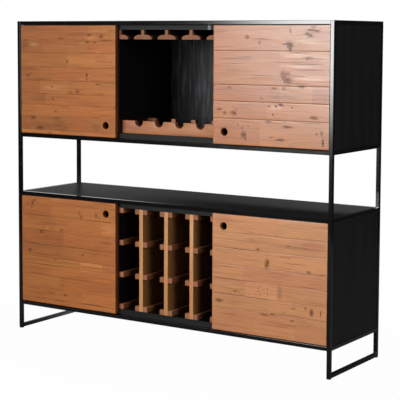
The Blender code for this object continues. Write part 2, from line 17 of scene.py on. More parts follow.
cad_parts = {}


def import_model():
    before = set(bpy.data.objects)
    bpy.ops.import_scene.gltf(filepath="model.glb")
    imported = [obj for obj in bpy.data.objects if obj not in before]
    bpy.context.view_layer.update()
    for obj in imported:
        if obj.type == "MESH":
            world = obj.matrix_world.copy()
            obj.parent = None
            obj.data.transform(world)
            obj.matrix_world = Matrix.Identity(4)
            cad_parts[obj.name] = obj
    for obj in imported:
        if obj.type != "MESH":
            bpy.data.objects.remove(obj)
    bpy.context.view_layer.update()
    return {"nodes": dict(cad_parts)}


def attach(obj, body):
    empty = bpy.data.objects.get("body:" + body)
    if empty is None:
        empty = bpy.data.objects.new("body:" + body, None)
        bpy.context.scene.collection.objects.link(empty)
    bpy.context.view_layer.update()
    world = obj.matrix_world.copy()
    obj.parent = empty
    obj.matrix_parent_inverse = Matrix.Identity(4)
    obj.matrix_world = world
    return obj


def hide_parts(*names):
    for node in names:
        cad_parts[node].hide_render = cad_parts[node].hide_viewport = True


LOG = logging.getLogger("bar_cabinet")
MM = 0.001
FAR = 99.0  # a nearness where there is no mark
Rgb = tuple[float, float, float]
Value = Any  # a number, a tuple of numbers or a Signal


def linear(colour: Rgb) -> tuple[float, float, float, float]:
    """Turn a display colour of 0 to 255 into the linear colour that a shader takes.

    Args:
        colour: red, green and blue, 0 to 255.

    Returns:
        Linear red, green and blue with an alpha of 1. A level c gives ((c + 0.055) / 1.055) to the power
        2.4, or c / 12.92 near black.
    """
    level = np.asarray(colour, float) / 255
    light = np.where(level <= 0.04045, level / 12.92, ((level + 0.055) / 1.055) ** 2.4)
    return (*(float(part) for part in light), 1.0)


class Grain(Enum):
    """The world axis that a piece's length and its wood grain follow."""

    X = 0
    Y = 1
    Z = 2

    @property
    def order(self) -> tuple[int, int, int]:
        """World axes of an outline's two directions and of the path it is carried along."""
        return ((1, 2, 0), (0, 2, 1), (0, 1, 2))[self.value]

    def scaled(self, along: float, across: float) -> tuple[float, float, float]:
        """Return a scale with one value along the grain and another across it."""
        return tuple(along if axis == self.value else across for axis in range(3))


# Shader maths


class Signal:
    """A node's output socket that takes part in Python expressions as a number or a vector."""

    def __init__(self, graph: "Graph", socket: bpy.types.NodeSocket) -> None:
        """Wrap a socket of the graph."""
        self.graph = graph
        self.socket = socket

    def _math(self, operation: str, *values: Value) -> "Signal":
        """Add the Math or Vector Math node of an operation on the values."""
        vector = any(_is_vector(value) for value in values)
        kind = "ShaderNodeVectorMath" if vector else "ShaderNodeMath"
        return self.graph.node(kind, {"operation": operation}, dict(enumerate(values)))

    def __add__(self, other: Value) -> "Signal":
        """Return the sum."""
        return self._math("ADD", self, other)

    def __radd__(self, other: Value) -> "Signal":
        """Return the sum, other first."""
        return self._math("ADD", other, self)

    def __sub__(self, other: Value) -> "Signal":
        """Return the difference."""
        return self._math("SUBTRACT", self, other)

    def __rsub__(self, other: Value) -> "Signal":
        """Return other less this."""
        return self._math("SUBTRACT", other, self)

    def __mul__(self, other: Value) -> "Signal":
        """Return the product."""
        return self._math("MULTIPLY", self, other)

    def __rmul__(self, other: Value) -> "Signal":
        """Return the product, other first."""
        return self._math("MULTIPLY", other, self)

    def __truediv__(self, other: Value) -> "Signal":
        """Return the quotient."""
        return self._math("DIVIDE", self, other)

    def __rtruediv__(self, other: Value) -> "Signal":
        """Return other over this."""
        return self._math("DIVIDE", other, self)

    def __pow__(self, other: Value) -> "Signal":
        """Return this to the power of other."""
        return self._math("POWER", self, other)

    def smaller(self, other: Value) -> "Signal":
        """Return the smaller of two numbers."""
        return self._math("MINIMUM", self, other)

    def larger(self, other: Value) -> "Signal":
        """Return the larger of two numbers."""
        return self._math("MAXIMUM", self, other)

    def fraction(self) -> "Signal":
        """Return what is left above the whole number below."""
        return self._math("FRACT", self)

    def wave(self) -> "Signal":
        """Return the sine of the number, in radians."""
        return self._math("SINE", self)

    def size(self) -> "Signal":
        """Return a vector's length."""
        return self.graph.node("ShaderNodeVectorMath", {"operation": "LENGTH"}, {0: self}, "Value")

    def along(self, direction: tuple[float, float, float]) -> "Signal":
        """Return a vector's reach in a direction."""
        settings = {"operation": "DOT_PRODUCT"}
        return self.graph.node("ShaderNodeVectorMath", settings, {0: self, 1: direction}, "Value")

    def rises(self, low: float, high: float) -> "Signal":
        """Return 0 below low, 1 above high and a smooth rise between them."""
        settings = {"interpolation_type": "SMOOTHSTEP"}
        return self.graph.node(
            "ShaderNodeMapRange", settings, {"Value": self, "From Min": low, "From Max": high}
        )

    def falls(self, low: float, high: float) -> "Signal":
        """Return 1 below low, 0 above high and a smooth fall between them."""
        return 1 - self.rises(low, high)


def _is_vector(value: Value) -> bool:
    """Tell whether a value of an expression is a vector or a colour."""
    if isinstance(value, Signal):
        return value.socket.type in {"VECTOR", "RGBA"}
    return isinstance(value, tuple)


class Graph:
    """The nodes of one material, or of the world."""

    def __init__(self, tree: bpy.types.NodeTree) -> None:
        """Start with an empty tree."""
        self.tree = tree
        tree.nodes.clear()

    @classmethod
    def of_material(cls, name: str) -> "Graph":
        """Make a material and return its empty graph."""
        material = bpy.data.materials.new(name)
        material.use_nodes = True
        graph = cls(material.node_tree)
        graph.material = material
        return graph

    @staticmethod
    def _find(sockets: bpy.types.bpy_prop_collection, key: int | str) -> bpy.types.NodeSocket:
        """Return a socket by its place, its identifier or its name."""
        if isinstance(key, int):
            return sockets[key]
        named = [socket for socket in sockets if socket.identifier == key]
        return named[0] if named else sockets[key]

    def node(
        self,
        kind: str,
        settings: dict[str, Any] | None = None,
        values: dict[int | str, Value] | None = None,
        out: int | str = 0,
    ) -> Signal:
        """Add a node.

        Args:
            kind: the node's type.
            settings: its settings, which are set first.
            values: the value or the link of each of its sockets.
            out: the output that is wanted.

        Returns:
            The wanted output as a signal.
        """
        node = self.tree.nodes.new(kind)
        for name, value in (settings or {}).items():
            setattr(node, name, value)
        for key, value in (values or {}).items():
            socket = self._find(node.inputs, key)
            if isinstance(value, Signal):
                self.tree.links.new(value.socket, socket)
            elif isinstance(value, tuple) and socket.type == "RGBA" and len(value) == 3:
                socket.default_value = (*value, 1.0)
            elif isinstance(value, (int, float)) and socket.type == "VECTOR":
                socket.default_value = (value, value, value)
            else:
                socket.default_value = value
        return Signal(self, self._find(node.outputs, out))

    def place(self) -> Signal:
        """Return the point on the surface, in the object's own coordinates."""
        return self.node("ShaderNodeTexCoord", out="Object")

    def facing(self) -> Signal:
        """Return the surface's direction, in the object's own coordinates."""
        return self.node("ShaderNodeTexCoord", out="Normal")

    def stamped(self, name: str, out: str = "Fac") -> Signal:
        """Return an attribute of the mesh."""
        return self.node("ShaderNodeAttribute", {"attribute_name": name}, out=out)

    def noise(self, where: Signal, scale: float = 1.0, detail: float = 2.0, rough: float = 0.5) -> Signal:
        """Return a smooth random field of 0 to 1 at a point."""
        values = {"Vector": where, "Scale": scale, "Detail": detail, "Roughness": rough}
        return self.node("ShaderNodeTexNoise", {}, values, "Fac")

    def jitter(self, where: Signal, scale: float, reach: float) -> Signal:
        """Return a random offset, up to about half the reach each way."""
        values = {"Vector": where, "Scale": scale, "Detail": 1.0}
        return (self.node("ShaderNodeTexNoise", {}, values, "Color") - (0.5, 0.5, 0.5)) * reach

    def blend(self, share: Value, first: Value, second: Value) -> Signal:
        """Mix two colours.

        Args:
            share: how much of the second colour.
            first: the colour at a share of 0.
            second: the colour at a share of 1.

        Returns:
            The mixed colour.
        """
        settings = {"data_type": "RGBA", "clamp_factor": True}
        values = {"Factor_Float": share, "A_Color": first, "B_Color": second}
        return self.node("ShaderNodeMix", settings, values, "Result_Color")

    def close(
        self, colour: Value, roughness: Value, height: Signal, relief: float, **constants: float
    ) -> bpy.types.Material:
        """End a material with its shader.

        Args:
            colour: the base colour.
            roughness: the roughness.
            height: the bump's height, about 0 to 1.
            relief: how far a height of 1 stands up, in metres.
            constants: other values of the shader, with _ for the blanks in their names.

        Returns:
            The finished material.
        """
        bump = self.node("ShaderNodeBump", {}, {"Height": height, "Distance": relief, "Strength": 1.0})
        values = {"Base Color": colour, "Roughness": roughness, "Normal": bump}
        values.update({name.replace("_", " "): value for name, value in constants.items()})
        shader = self.node("ShaderNodeBsdfPrincipled", {}, values)
        self.node_output(shader)
        return self.material

    def node_output(self, shader: Signal, kind: str = "ShaderNodeOutputMaterial") -> None:
        """Link the shader to the tree's output."""
        output = self.tree.nodes.new(kind)
        self.tree.links.new(shader.socket, output.inputs["Surface"])


# Finishes


@dataclass(frozen=True)
class PowderCoat:
    """Glossy black powder coat: a fine orange peel, faint cloudiness and a slightly paler bloom."""

    colour: Rgb = (8, 8, 9)
    bloom: Rgb = (15, 15, 16)
    roughness: float = 0.11
    gloss: float = 1.0
    peel: float = 1.1 * MM
    relief: float = 0.006 * MM

    def material(self) -> bpy.types.Material:
        """Make the material."""
        graph = Graph.of_material("black_powder_coat")
        place = graph.place()
        peel = graph.noise(place, 1 / self.peel, 1.5)
        cloud = graph.noise(place, 9.0, 3.0)
        rub = graph.noise(place, 60.0, 4.0, 0.6)
        share = cloud.rises(0.42, 0.72) * 0.6 + rub.rises(0.62, 0.8) * 0.3
        colour = graph.blend(share, linear(self.colour), linear(self.bloom))
        roughness = self.roughness + (cloud - 0.5) * 0.05 + (rub - 0.5) * 0.04
        height = peel + rub * 0.3
        return graph.close(colour, roughness, height, self.relief, Specular_IOR_Level=self.gloss)


@dataclass(frozen=True)
class StainedBoard:
    """Black-stained board with its grain just showing as paler streaks.

    Broad is the share of the wide streaks, where the fine ones have the rest, and lines is how many fine
    ones there are in a metre.
    """

    name: str
    grain: Grain
    colour: Rgb = (18, 18, 19)
    streak: Rgb = (30, 31, 33)
    pore: Rgb = (14, 14, 14)
    broad: float = 0.55
    lines: float = 260.0
    roughness: float = 0.43
    gloss: float = 0.25
    relief: float = 0.12 * MM

    def material(self) -> bpy.types.Material:
        """Make the material."""
        graph = Graph.of_material(self.name)
        place = graph.place()
        bend = graph.jitter(place * self.grain.scaled(1.5, 6.0), 1.0, 0.02)
        wood = place + bend
        broad = graph.noise(wood * self.grain.scaled(1.6, 26.0), 1.0, 3.0, 0.6)
        fine = graph.noise(wood * self.grain.scaled(7.0, self.lines), 1.0, 4.0, 0.65)
        pore = graph.noise(wood * self.grain.scaled(60.0, 1500.0), 1.0, 2.0, 0.6)
        streak = broad.rises(0.40, 0.75) * self.broad + fine.rises(0.45, 0.75) * (1.0 - self.broad)
        colour = graph.blend(streak, linear(self.colour), linear(self.streak))
        colour = graph.blend(pore.rises(0.6, 0.75) * 0.5, colour, linear(self.pore))
        roughness = self.roughness + (fine - 0.5) * 0.16 + (broad - 0.5) * 0.08
        height = fine * 0.6 - pore.rises(0.58, 0.75) * 0.5
        return graph.close(colour, roughness, height, self.relief, Specular_IOR_Level=self.gloss)


@dataclass(frozen=True)
class ZincPlate:
    """Bright zinc plating with its cloudy spangle and fine scratches."""

    colour: Rgb = (128, 130, 132)
    dull: Rgb = (84, 86, 90)
    roughness: float = 0.46
    relief: float = 0.01 * MM

    def material(self) -> bpy.types.Material:
        """Make the material."""
        graph = Graph.of_material("zinc_plate")
        place = graph.place()
        cloud = graph.noise(place, 240.0, 3.0, 0.6)
        scratch = graph.noise(place * (300.0, 300.0, 4000.0), 1.0, 2.0)
        colour = graph.blend(cloud.rises(0.35, 0.7), linear(self.colour), linear(self.dull))
        roughness = self.roughness + cloud * 0.15
        return graph.close(colour, roughness, scratch + cloud, self.relief, Metallic=1.0)


@dataclass(frozen=True)
class MouldedPlastic:
    """Black moulded plastic with a spark-eroded texture and worn patches."""

    colour: Rgb = (20, 20, 21)
    worn: Rgb = (48, 48, 49)
    roughness: float = 0.46
    relief: float = 0.03 * MM

    def material(self) -> bpy.types.Material:
        """Make the material."""
        graph = Graph.of_material("black_plastic")
        place = graph.place()
        grit = graph.noise(place, 2200.0, 2.0)
        wear = graph.noise(place, 180.0, 4.0, 0.6)
        colour = graph.blend(wear.rises(0.52, 0.75), linear(self.colour), linear(self.worn))
        return graph.close(colour, self.roughness + wear * 0.15, grit, self.relief)


@dataclass(frozen=True)
class Pine:
    """Planed pine under a clear lacquer, worked out as solid wood.

    The growth rings are cylinders round each piece's own pith, so faces, edges and ends all show the cut
    that they make through the same wood. The mesh brings the pith and a tone as attributes.

    Early and red are the colours of the soft part of a ring, late is that of its hard part, fibre that of
    the fine lines and end that of the end grain. Ring is the width of a ring, and wander how far the rings
    bend. Sharp narrows their hard part, and hair is the share of thin dark lines. Flank and lengthwise shade
    are painted shade: flank darkens the faces that look along X, and lengthwise shade every face along the
    grain, by a quarter of it in front of the first depth of inside, rising to all of it behind the second.
    """

    name: str
    grain: Grain
    early: Rgb = (206, 140, 90)
    red: Rgb = (196, 122, 82)
    late: Rgb = (158, 92, 54)
    fibre: Rgb = (134, 74, 42)
    end: Rgb = (148, 88, 60)
    late_share: float = 0.50
    fibre_share: float = 0.40
    streak_share: float = 0.45
    end_share: float = 0.65
    ring: float = 3.6 * MM
    wander: float = 10 * MM
    quiver: float = 1.6 * MM
    roughness: float = 0.50
    gloss: float = 0.5
    sharp: float = 2.5
    # Painted shade: these darken the sides of a stick, the more the deeper it lies in the cabinet.
    flank: float = 0.0
    lengthwise_shade: float = 0.0
    inside: tuple[float, float] = (-185 * MM, -120 * MM)
    hair: float = 0.0
    relief: float = 0.1 * MM

    def rings(self, graph: Graph, place: Signal, push: Value = 0.0) -> Signal:
        """Work out how far a point is through its growth ring.

        The distance from the pith, bent by slow and quick noise along the grain and by knots, is divided by
        the width of a ring, and the whole number is taken off.

        Args:
            graph: the material's graph.
            place: the point on the surface.
            push: how far knots push the rings aside.

        Returns:
            0 at the start of a ring to 1 at its end.
        """
        pith = graph.stamped("pith", "Vector")
        away = ((place - pith) * self.grain.scaled(0.0, 1.0)).size()
        slow = graph.noise(place * self.grain.scaled(2.2, 9.0) + pith * 17.0, 1.0, 2.0)
        quick = graph.noise(place * self.grain.scaled(14.0, 60.0) + pith * 5.0, 1.0, 3.0)
        return ((away + slow * self.wander + quick * self.quiver + push) / self.ring).fraction()

    def wood(self, graph: Graph, place: Signal, push: Value = 0.0) -> tuple[Signal, Signal, Signal]:
        """Work out the clear wood.

        Args:
            graph: the material's graph.
            place: the point on the surface.
            push: how far knots push the rings aside.

        Returns:
            The colour, the roughness and the height.
        """
        ring = self.rings(graph, place, push)
        pith = graph.stamped("pith", "Vector")
        late = (ring ** self.sharp) * ring.falls(0.93, 1.0)
        fibre = graph.noise(place * self.grain.scaled(22.0, 700.0), 1.0, 4.0, 0.65)
        streak = graph.noise(place * self.grain.scaled(4.0, 110.0), 1.0, 3.0, 0.6)
        mottle = graph.noise(place * self.grain.scaled(5.0, 16.0), 1.0, 2.0)
        hue = graph.noise(pith * 41.0 + place * self.grain.scaled(1.0, 4.0), 1.0, 1.0)
        early = graph.blend(hue.rises(0.35, 0.65), linear(self.red), linear(self.early))
        colour = graph.blend(late * self.late_share, early, linear(self.late))
        lines = fibre.rises(0.48, 0.78) * self.fibre_share + streak.rises(0.5, 0.75) * self.streak_share
        colour = graph.blend(lines, colour, linear(self.fibre))
        if self.hair:
            thin = graph.noise(place * self.grain.scaled(5.0, 230.0) + pith * 3.0, 1.0, 2.0, 0.5)
            where = graph.noise(place * self.grain.scaled(3.0, 24.0) + pith * 9.0, 1.0, 2.0)
            hairs = thin.rises(0.56, 0.68) * where.rises(0.35, 0.6) * self.hair
            colour = graph.blend(hairs, colour, linear(self.fibre))
        lengthwise = graph.facing().along(self.grain.scaled(1.0, 0.0))
        ends = (lengthwise * lengthwise).rises(0.4, 0.8)
        colour = graph.blend(ends * self.end_share, colour, linear(self.end))
        tone = graph.stamped("tone") * (0.86 + mottle * 0.28)
        # Painted shade of the sides deep in the cabinet darkens the colour.
        colour = colour * (tone * self.shade(graph, place))
        roughness = self.roughness + (fibre - 0.5) * 0.10 + (streak - 0.5) * 0.14
        roughness = roughness - late * 0.04 + ends * 0.15
        height = late * 0.15 - fibre.rises(0.5, 0.8) * 0.2
        return colour, roughness, height

    def shade(self, graph: Graph, place: Signal) -> Signal:
        """Work out the painted shade of a face, by the way it looks and by how deep in the cabinet it lies.

        Args:
            graph: the material's graph.
            place: the point on the surface.

        Returns:
            1 less the larger of the two painted darkenings, of the flanks and of the faces along the grain,
            times the depth's share.
        """
        across = graph.facing().along((1.0, 0.0, 0.0))
        flank_shading = (across * across).rises(0.4, 0.9) * self.flank
        lengthwise = graph.facing().along(self.grain.scaled(1.0, 0.0))
        lengthwise_shading = (lengthwise * lengthwise).falls(0.2, 0.6) * self.lengthwise_shade
        deep = 0.25 + place.along((0.0, 1.0, 0.0)).rises(*self.inside) * 0.75
        return 1.0 - flank_shading.larger(lengthwise_shading) * deep

    def material(self) -> bpy.types.Material:
        """Make the material."""
        graph = Graph.of_material(self.name)
        colour, roughness, height = self.wood(graph, graph.place())
        return graph.close(colour, roughness, height, self.relief, Specular_IOR_Level=self.gloss)


class Flaw(Enum):
    """What a mark on a door is.

    Each has its colour, how much it covers, the nearness at which it starts to fade, that at which it is
    gone, and how deep it lies in the relief.
    """

    # Pale patches of wood, and painted highlights where the door's sheen shone.
    PALE_AND_PAINTED_SHEEN = ((216, 152, 102), 0.62, 0.1, 1.3, 0.0)
    WARM = ((176, 94, 52), 0.45, 0.5, 1.25, 0.0)
    SMEAR = ((106, 56, 28), 0.42, 0.1, 1.35, 0.0)
    HALO = ((128, 70, 36), 0.35, 0.9, 2.1, 0.0)
    # A knot whose grey-violet is its brown with painted sheen over it.
    KNOT_WITH_PAINTED_SHEEN = ((150, 120, 112), 0.75, 0.4, 1.15, 0.6)
    KNOT = ((104, 56, 30), 0.56, 0.65, 1.15, 0.8)
    DARK = ((72, 38, 20), 0.74, 0.65, 1.15, 1.2)
    CHECK = ((62, 32, 16), 0.80, 0.3, 1.2, 3.0)
    NAIL = ((16, 9, 6), 1.0, 0.7, 1.2, 6.0)

    @property
    def colour(self) -> Rgb:
        """The mark's colour."""
        return self.value[0]

    @property
    def is_knot(self) -> bool:
        """Whether the mark is a knot of some kind."""
        return self in (Flaw.KNOT_WITH_PAINTED_SHEEN, Flaw.KNOT, Flaw.DARK)

    @property
    def is_stain(self) -> bool:
        """Whether the mark is a patch of another colour."""
        return self in (Flaw.PALE_AND_PAINTED_SHEEN, Flaw.WARM, Flaw.SMEAR)


@dataclass(frozen=True)
class Mark:
    """One mark of a door, in millimetres on the door's front, measured from the middle of the cabinet."""

    flaw: Flaw
    x: float
    z: float
    wide: float
    high: float

    def nearness(self, x: np.ndarray, z: np.ndarray) -> np.ndarray:
        """Return how near points lie: the square root of (dx / half width)^2 + (dz / half height)^2."""
        return np.hypot((x / MM - self.x) / self.wide, (z / MM - self.z) / self.high)


@dataclass(frozen=True)
class ReclaimedPine(Pine):
    """Old pine boards: knots that bend the grain round them, cracks, nail holes, stains, pale patches and
    painted highlights of the door's sheen.

    Coat is the share of varnish, and pale coat what pale patches have besides. Push is how far a knot moves
    the rings, push fade how fast that ends, and rays how much of a knot's colour the rings inside it take
    away, whose number follows ray count. Solid is how strong the knots' colour is, and bareness how bare of
    varnish knots, cracks and holes are where solid is 1. Crazed is the share of the fine cracks round the
    knots: they have the fineness of crack scale, fade out over crack reach, and run where the square of
    noise lies below crack width. Crack depth is how deep they lie in the relief. Ragged, cracked and
    pricked are the fineness and the reach of the noise that bends the outlines of most marks, of cracks
    and of holes.
    """

    marks: tuple[Mark, ...] = ()
    coat: float = 0.9
    coat_roughness: float = 0.24
    coat_ior: float = 1.72
    push: float = 12 * MM
    rays: float = 0.42
    push_fade: float = 0.7
    ray_count: float = 15.0
    solid: float = 1.0
    bareness: float = 0.9
    bare_roughness: float = 0.3
    pale_coat: float = 0.35
    crazed: float = 0.0
    crack_scale: tuple[float, float, float] = (75.0, 75.0, 130.0)
    crack_width: tuple[float, float] = (0.0001, 0.0008)
    crack_reach: tuple[float, float] = (0.9, 2.5)
    crack_depth: float = 2.0
    ragged: tuple[tuple[float, float], ...] = ((210.0, 5.5 * MM), (60.0, 6 * MM))
    cracked: tuple[float, float] = (110.0, 5 * MM)
    pricked: tuple[float, float] = (400.0, 1 * MM)

    def nearest(self, graph: Graph, place: Signal, flaw: Flaw) -> Signal:
        """Return how near the closest mark of a kind is: 0 at its middle and 1 at its edge.

        Args:
            graph: the material's graph.
            place: the point on the surface.
            flaw: the kind of mark.

        Returns:
            The smallest, over the marks, of the length of (point - middle) / half size.
        """
        best: Value = None
        for mark in (mark for mark in self.marks if mark.flaw is flaw):
            size = (1 / (mark.wide * MM), 0.0, 1 / (mark.high * MM))
            offset = (-mark.x / mark.wide, 0.0, -mark.z / mark.high)
            values = {0: place, 1: size, 2: offset}
            apart = graph.node("ShaderNodeVectorMath", {"operation": "MULTIPLY_ADD"}, values).size()
            best = apart if best is None else best.smaller(apart)
        return best if best is not None else place.along((0.0, 0.0, 0.0)) + FAR

    def nearness(self, graph: Graph, place: Signal) -> dict[Flaw, Signal]:
        """Work out how near the marks of each kind are, with outlines that noise makes ragged.

        Args:
            graph: the material's graph.
            place: the point on the surface.

        Returns:
            The nearness by kind, where a halo's is that of the nearest knot of any kind.
        """
        fine, coarse = self.ragged
        ragged = place + graph.jitter(place, *fine) + graph.jitter(place, *coarse)
        cracked = place + graph.jitter(place, *self.cracked)
        pricked = place + graph.jitter(place, *self.pricked)
        bent = {Flaw.CHECK: cracked, Flaw.NAIL: pricked}
        kinds = [flaw for flaw in Flaw if flaw is not Flaw.HALO]
        near = {flaw: self.nearest(graph, bent.get(flaw, ragged), flaw) for flaw in kinds}
        near[Flaw.HALO] = near[Flaw.KNOT].smaller(near[Flaw.DARK]).smaller(near[Flaw.KNOT_WITH_PAINTED_SHEEN])
        return near

    def crazing(self, graph: Graph, place: Signal, near: dict[Flaw, Signal]) -> Signal:
        """Return where fine cracks run round brown knots: where noise is close to its middle value."""
        uneven = graph.noise(place * self.crack_scale, 1.0, 3.0, 0.65) - 0.5
        brown = near[Flaw.KNOT].smaller(near[Flaw.DARK])
        return (uneven * uneven).falls(*self.crack_width) * brown.falls(*self.crack_reach)

    def material(self) -> bpy.types.Material:
        """Make the material."""
        graph = Graph.of_material(self.name)
        place = graph.place()
        near = self.nearness(graph, place)
        knots = near[Flaw.HALO]
        push = self.push / (1 + knots * knots * self.push_fade)
        colour, roughness, height = self.wood(graph, place, push)
        rays = ((knots * self.ray_count).wave() * 0.5 + 0.5) * self.rays
        grain = graph.noise(place * self.grain.scaled(7.0, 150.0), 1.0, 3.0, 0.6)
        lines = 0.25 + grain.rises(0.35, 0.62) * 0.75
        for flaw in Flaw:
            _, cover, inner, outer, depth = flaw.value
            mask = near[flaw].falls(inner, outer)
            share = mask * cover
            if flaw.is_knot:
                share = mask * (cover - rays) * self.solid
            elif flaw.is_stain:
                share = share * lines
            colour = graph.blend(share, colour, linear(flaw.colour))
            if depth:
                height = height - mask * depth
        crack = self.crazing(graph, place, near)
        colour = graph.blend(crack * self.crazed, colour, linear(Flaw.CHECK.colour))
        bare = knots.falls(0.8, 1.3).larger(near[Flaw.NAIL].falls(0.8, 1.3))
        bare = bare.larger(near[Flaw.CHECK].falls(0.6, 1.2)).larger(graph.stamped("tone").falls(0.58, 0.68))
        pale = near[Flaw.PALE_AND_PAINTED_SHEEN].falls(0.1, 1.3) * lines
        coat = (self.coat - bare * self.bareness * self.solid) * (0.58 + lines * 0.46)
        coat = coat + pale * self.pale_coat
        height = height - crack * self.crack_depth
        return graph.close(
            colour, roughness + bare * self.bare_roughness, height, self.relief,
            Specular_IOR_Level=self.gloss, Coat_Weight=coat, Coat_Roughness=self.coat_roughness,
            Coat_IOR=self.coat_ior,
        )


# Shapes


@dataclass
class Shell:
    """A closed surface: its points and its faces."""

    points: np.ndarray
    faces: list[list[int]]

    def joined(self, other: "Shell") -> "Shell":
        """Return both surfaces as one."""
        start = len(self.points)
        moved = [[corner + start for corner in face] for face in other.faces]
        return Shell(np.vstack([self.points, other.points]), self.faces + moved)


def eased(corners: Sequence[Sequence[float]], radii: float | Sequence[float], steps: int = 3) -> np.ndarray:
    """Round the corners of a closed outline.

    Each corner C becomes the curve (1-s)^2 A + 2 s (1-s) C + s^2 B for s from 0 to 1, where A and B lie at
    the corner's radius from it along the two edges that meet there.

    Args:
        corners: the outline's corners, counter-clockwise.
        radii: one radius for all corners, or one for each.
        steps: how many edges a rounded corner has.

    Returns:
        The rounded outline's points.
    """
    corner = np.asarray(corners, float)
    back = np.roll(corner, 1, axis=0) - corner
    ahead = np.roll(corner, -1, axis=0) - corner
    back_length, ahead_length = np.linalg.norm(back, axis=1), np.linalg.norm(ahead, axis=1)
    radius = np.broadcast_to(np.asarray(radii, float), len(corner))
    radius = np.minimum(radius, 0.45 * np.minimum(back_length, ahead_length))
    start = (corner + back * (radius / back_length)[:, None])[:, None]
    end = (corner + ahead * (radius / ahead_length)[:, None])[:, None]
    s = np.linspace(0, 1, steps + 1)[None, :, None]
    curve = (1 - s) ** 2 * start + 2 * s * (1 - s) * corner[:, None] + s**2 * end
    keep = (radius[:, None] > 0) | (np.arange(steps + 1)[None] == 0)
    return curve[keep]


def filled(outline: np.ndarray, spacing: float) -> np.ndarray:
    """Add points along an outline's long edges.

    Args:
        outline: the outline's points.
        spacing: the longest distance left between two points.

    Returns:
        The points, where edge i is cut into equal lengths of at most the spacing.
    """
    step = np.roll(outline, -1, axis=0) - outline
    count = np.maximum(1, np.ceil(np.linalg.norm(step, axis=1) / spacing).astype(int))
    first = np.repeat(np.arange(len(outline)), count)
    within = np.arange(count.sum()) - np.repeat(np.cumsum(count) - count, count)
    return outline[first] + step[first] * (within / count[first])[:, None]


def inward(outline: np.ndarray) -> np.ndarray:
    """Return how each point of a counter-clockwise outline moves when the outline shrinks by 1.

    The two edges' unit normals are added, and the sum is lengthened so that both edges move by 1.
    """
    edge = np.roll(outline, -1, axis=0) - outline
    edge /= np.linalg.norm(edge, axis=1)[:, None]
    normal = np.stack([-edge[:, 1], edge[:, 0]], axis=1)
    both = normal + np.roll(normal, 1, axis=0)
    return both * (2 / np.maximum((both**2).sum(axis=1), 0.8))[:, None]


def carried(outline: np.ndarray, path: np.ndarray, shrink: np.ndarray, grain: Grain) -> Shell:
    """Carry an outline along an axis and close both ends.

    Point (i, j) is outline point j moved inward by shrink i, at path i along the axis.

    Args:
        outline: the outline's points in the plane across the axis.
        path: the places along the axis, rising.
        shrink: how much smaller the outline is at each place.
        grain: the axis.

    Returns:
        The closed surface, its faces outwards.
    """
    around = np.roll(outline, -1, axis=0)
    if (outline[:, 0] * around[:, 1] - around[:, 0] * outline[:, 1]).sum() < 0:
        outline = outline[::-1]
    rows, columns = len(path), len(outline)
    flat = outline[None] + inward(outline)[None] * np.asarray(shrink)[:, None, None]
    points = np.empty((rows, columns, 3))
    points[..., list(grain.order[:2])] = flat
    points[..., grain.order[2]] = np.asarray(path)[:, None]
    index = np.arange(rows * columns).reshape(rows, columns)
    turned = np.roll(index, -1, axis=1)
    quads = np.stack([index[:-1], turned[:-1], turned[1:], index[1:]], axis=-1).reshape(-1, 4)
    faces = quads.tolist() + [index[0, ::-1].tolist(), index[-1].tolist()]
    if grain is Grain.Y:
        faces = [face[::-1] for face in faces]
    return Shell(points.reshape(-1, 3), faces)


def eased_path(
    start: float, end: float, ease: float, inner: Sequence[float] = ()
) -> tuple[np.ndarray, np.ndarray]:
    """Lay out the places along a stick whose ends are rounded over.

    A place at ease * (1 - cos a) from an end has the outline shrunk by ease * (1 - sin a), for a from 0 to
    90 degrees.

    Args:
        start: the lower end.
        end: the upper end.
        ease: the radius of the rounding.
        inner: more places between the ends.

    Returns:
        The places, and how much smaller the outline is at each.
    """
    angle = np.radians([0, 35, 65, 90])
    near, less = ease * (1 - np.cos(angle)), ease * (1 - np.sin(angle))
    middle = np.asarray([place for place in inner if start + ease < place < end - ease])
    path = np.concatenate([start + near, middle, (end - near)[::-1]])
    return path, np.concatenate([less, np.zeros(len(middle)), less[::-1]])


def round_hole(centre: tuple[float, float], radius: float, points: int) -> np.ndarray:
    """Return a circle's points, centre + radius * (cos a, sin a) for a once round."""
    angle = np.linspace(0, 2 * np.pi, points, endpoint=False)
    return np.asarray(centre) + radius * np.stack([np.cos(angle), np.sin(angle)], axis=1)


def new_piece(name: str, shell: Shell, body: str, nodes: Sequence[str]) -> bpy.types.Object:
    """Make a piece of the cabinet from a surface.

    Args:
        name: the piece's name.
        shell: its surface.
        body: the body that it rides on.
        nodes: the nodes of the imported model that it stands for.

    Returns:
        The piece, in its place.
    """
    mesh = bpy.data.meshes.new(name)
    mesh.from_pydata(shell.points.tolist(), [], shell.faces)
    piece = bpy.data.objects.new(name, mesh)
    bpy.context.scene.collection.objects.link(piece)
    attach(piece, body)
    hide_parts(*nodes)
    return piece


def cut_out(piece: bpy.types.Object, tool: Shell) -> None:
    """Cut a surface's inside out of a piece and keep the result as the piece's mesh."""
    mesh = bpy.data.meshes.new("cutter")
    mesh.from_pydata(tool.points.tolist(), [], tool.faces)
    cutter = bpy.data.objects.new("cutter", mesh)
    bpy.context.scene.collection.objects.link(cutter)
    change = piece.modifiers.new("bores", "BOOLEAN")
    change.object, change.solver, change.operation = cutter, "EXACT", "DIFFERENCE"
    ready = piece.evaluated_get(bpy.context.evaluated_depsgraph_get())
    piece.data = bpy.data.meshes.new_from_object(ready)
    piece.modifiers.clear()
    bpy.data.objects.remove(cutter)
    bpy.data.meshes.remove(mesh)


def stamp(mesh: bpy.types.Mesh, name: str, values: np.ndarray) -> None:
    """Write a number or a vector for each face of a mesh."""
    kind, field_name = ("FLOAT_VECTOR", "vector") if values.ndim == 2 else ("FLOAT", "value")
    layer = mesh.attributes.new(name, kind, "FACE")
    layer.data.foreach_set(field_name, np.ascontiguousarray(values, np.float32).ravel())


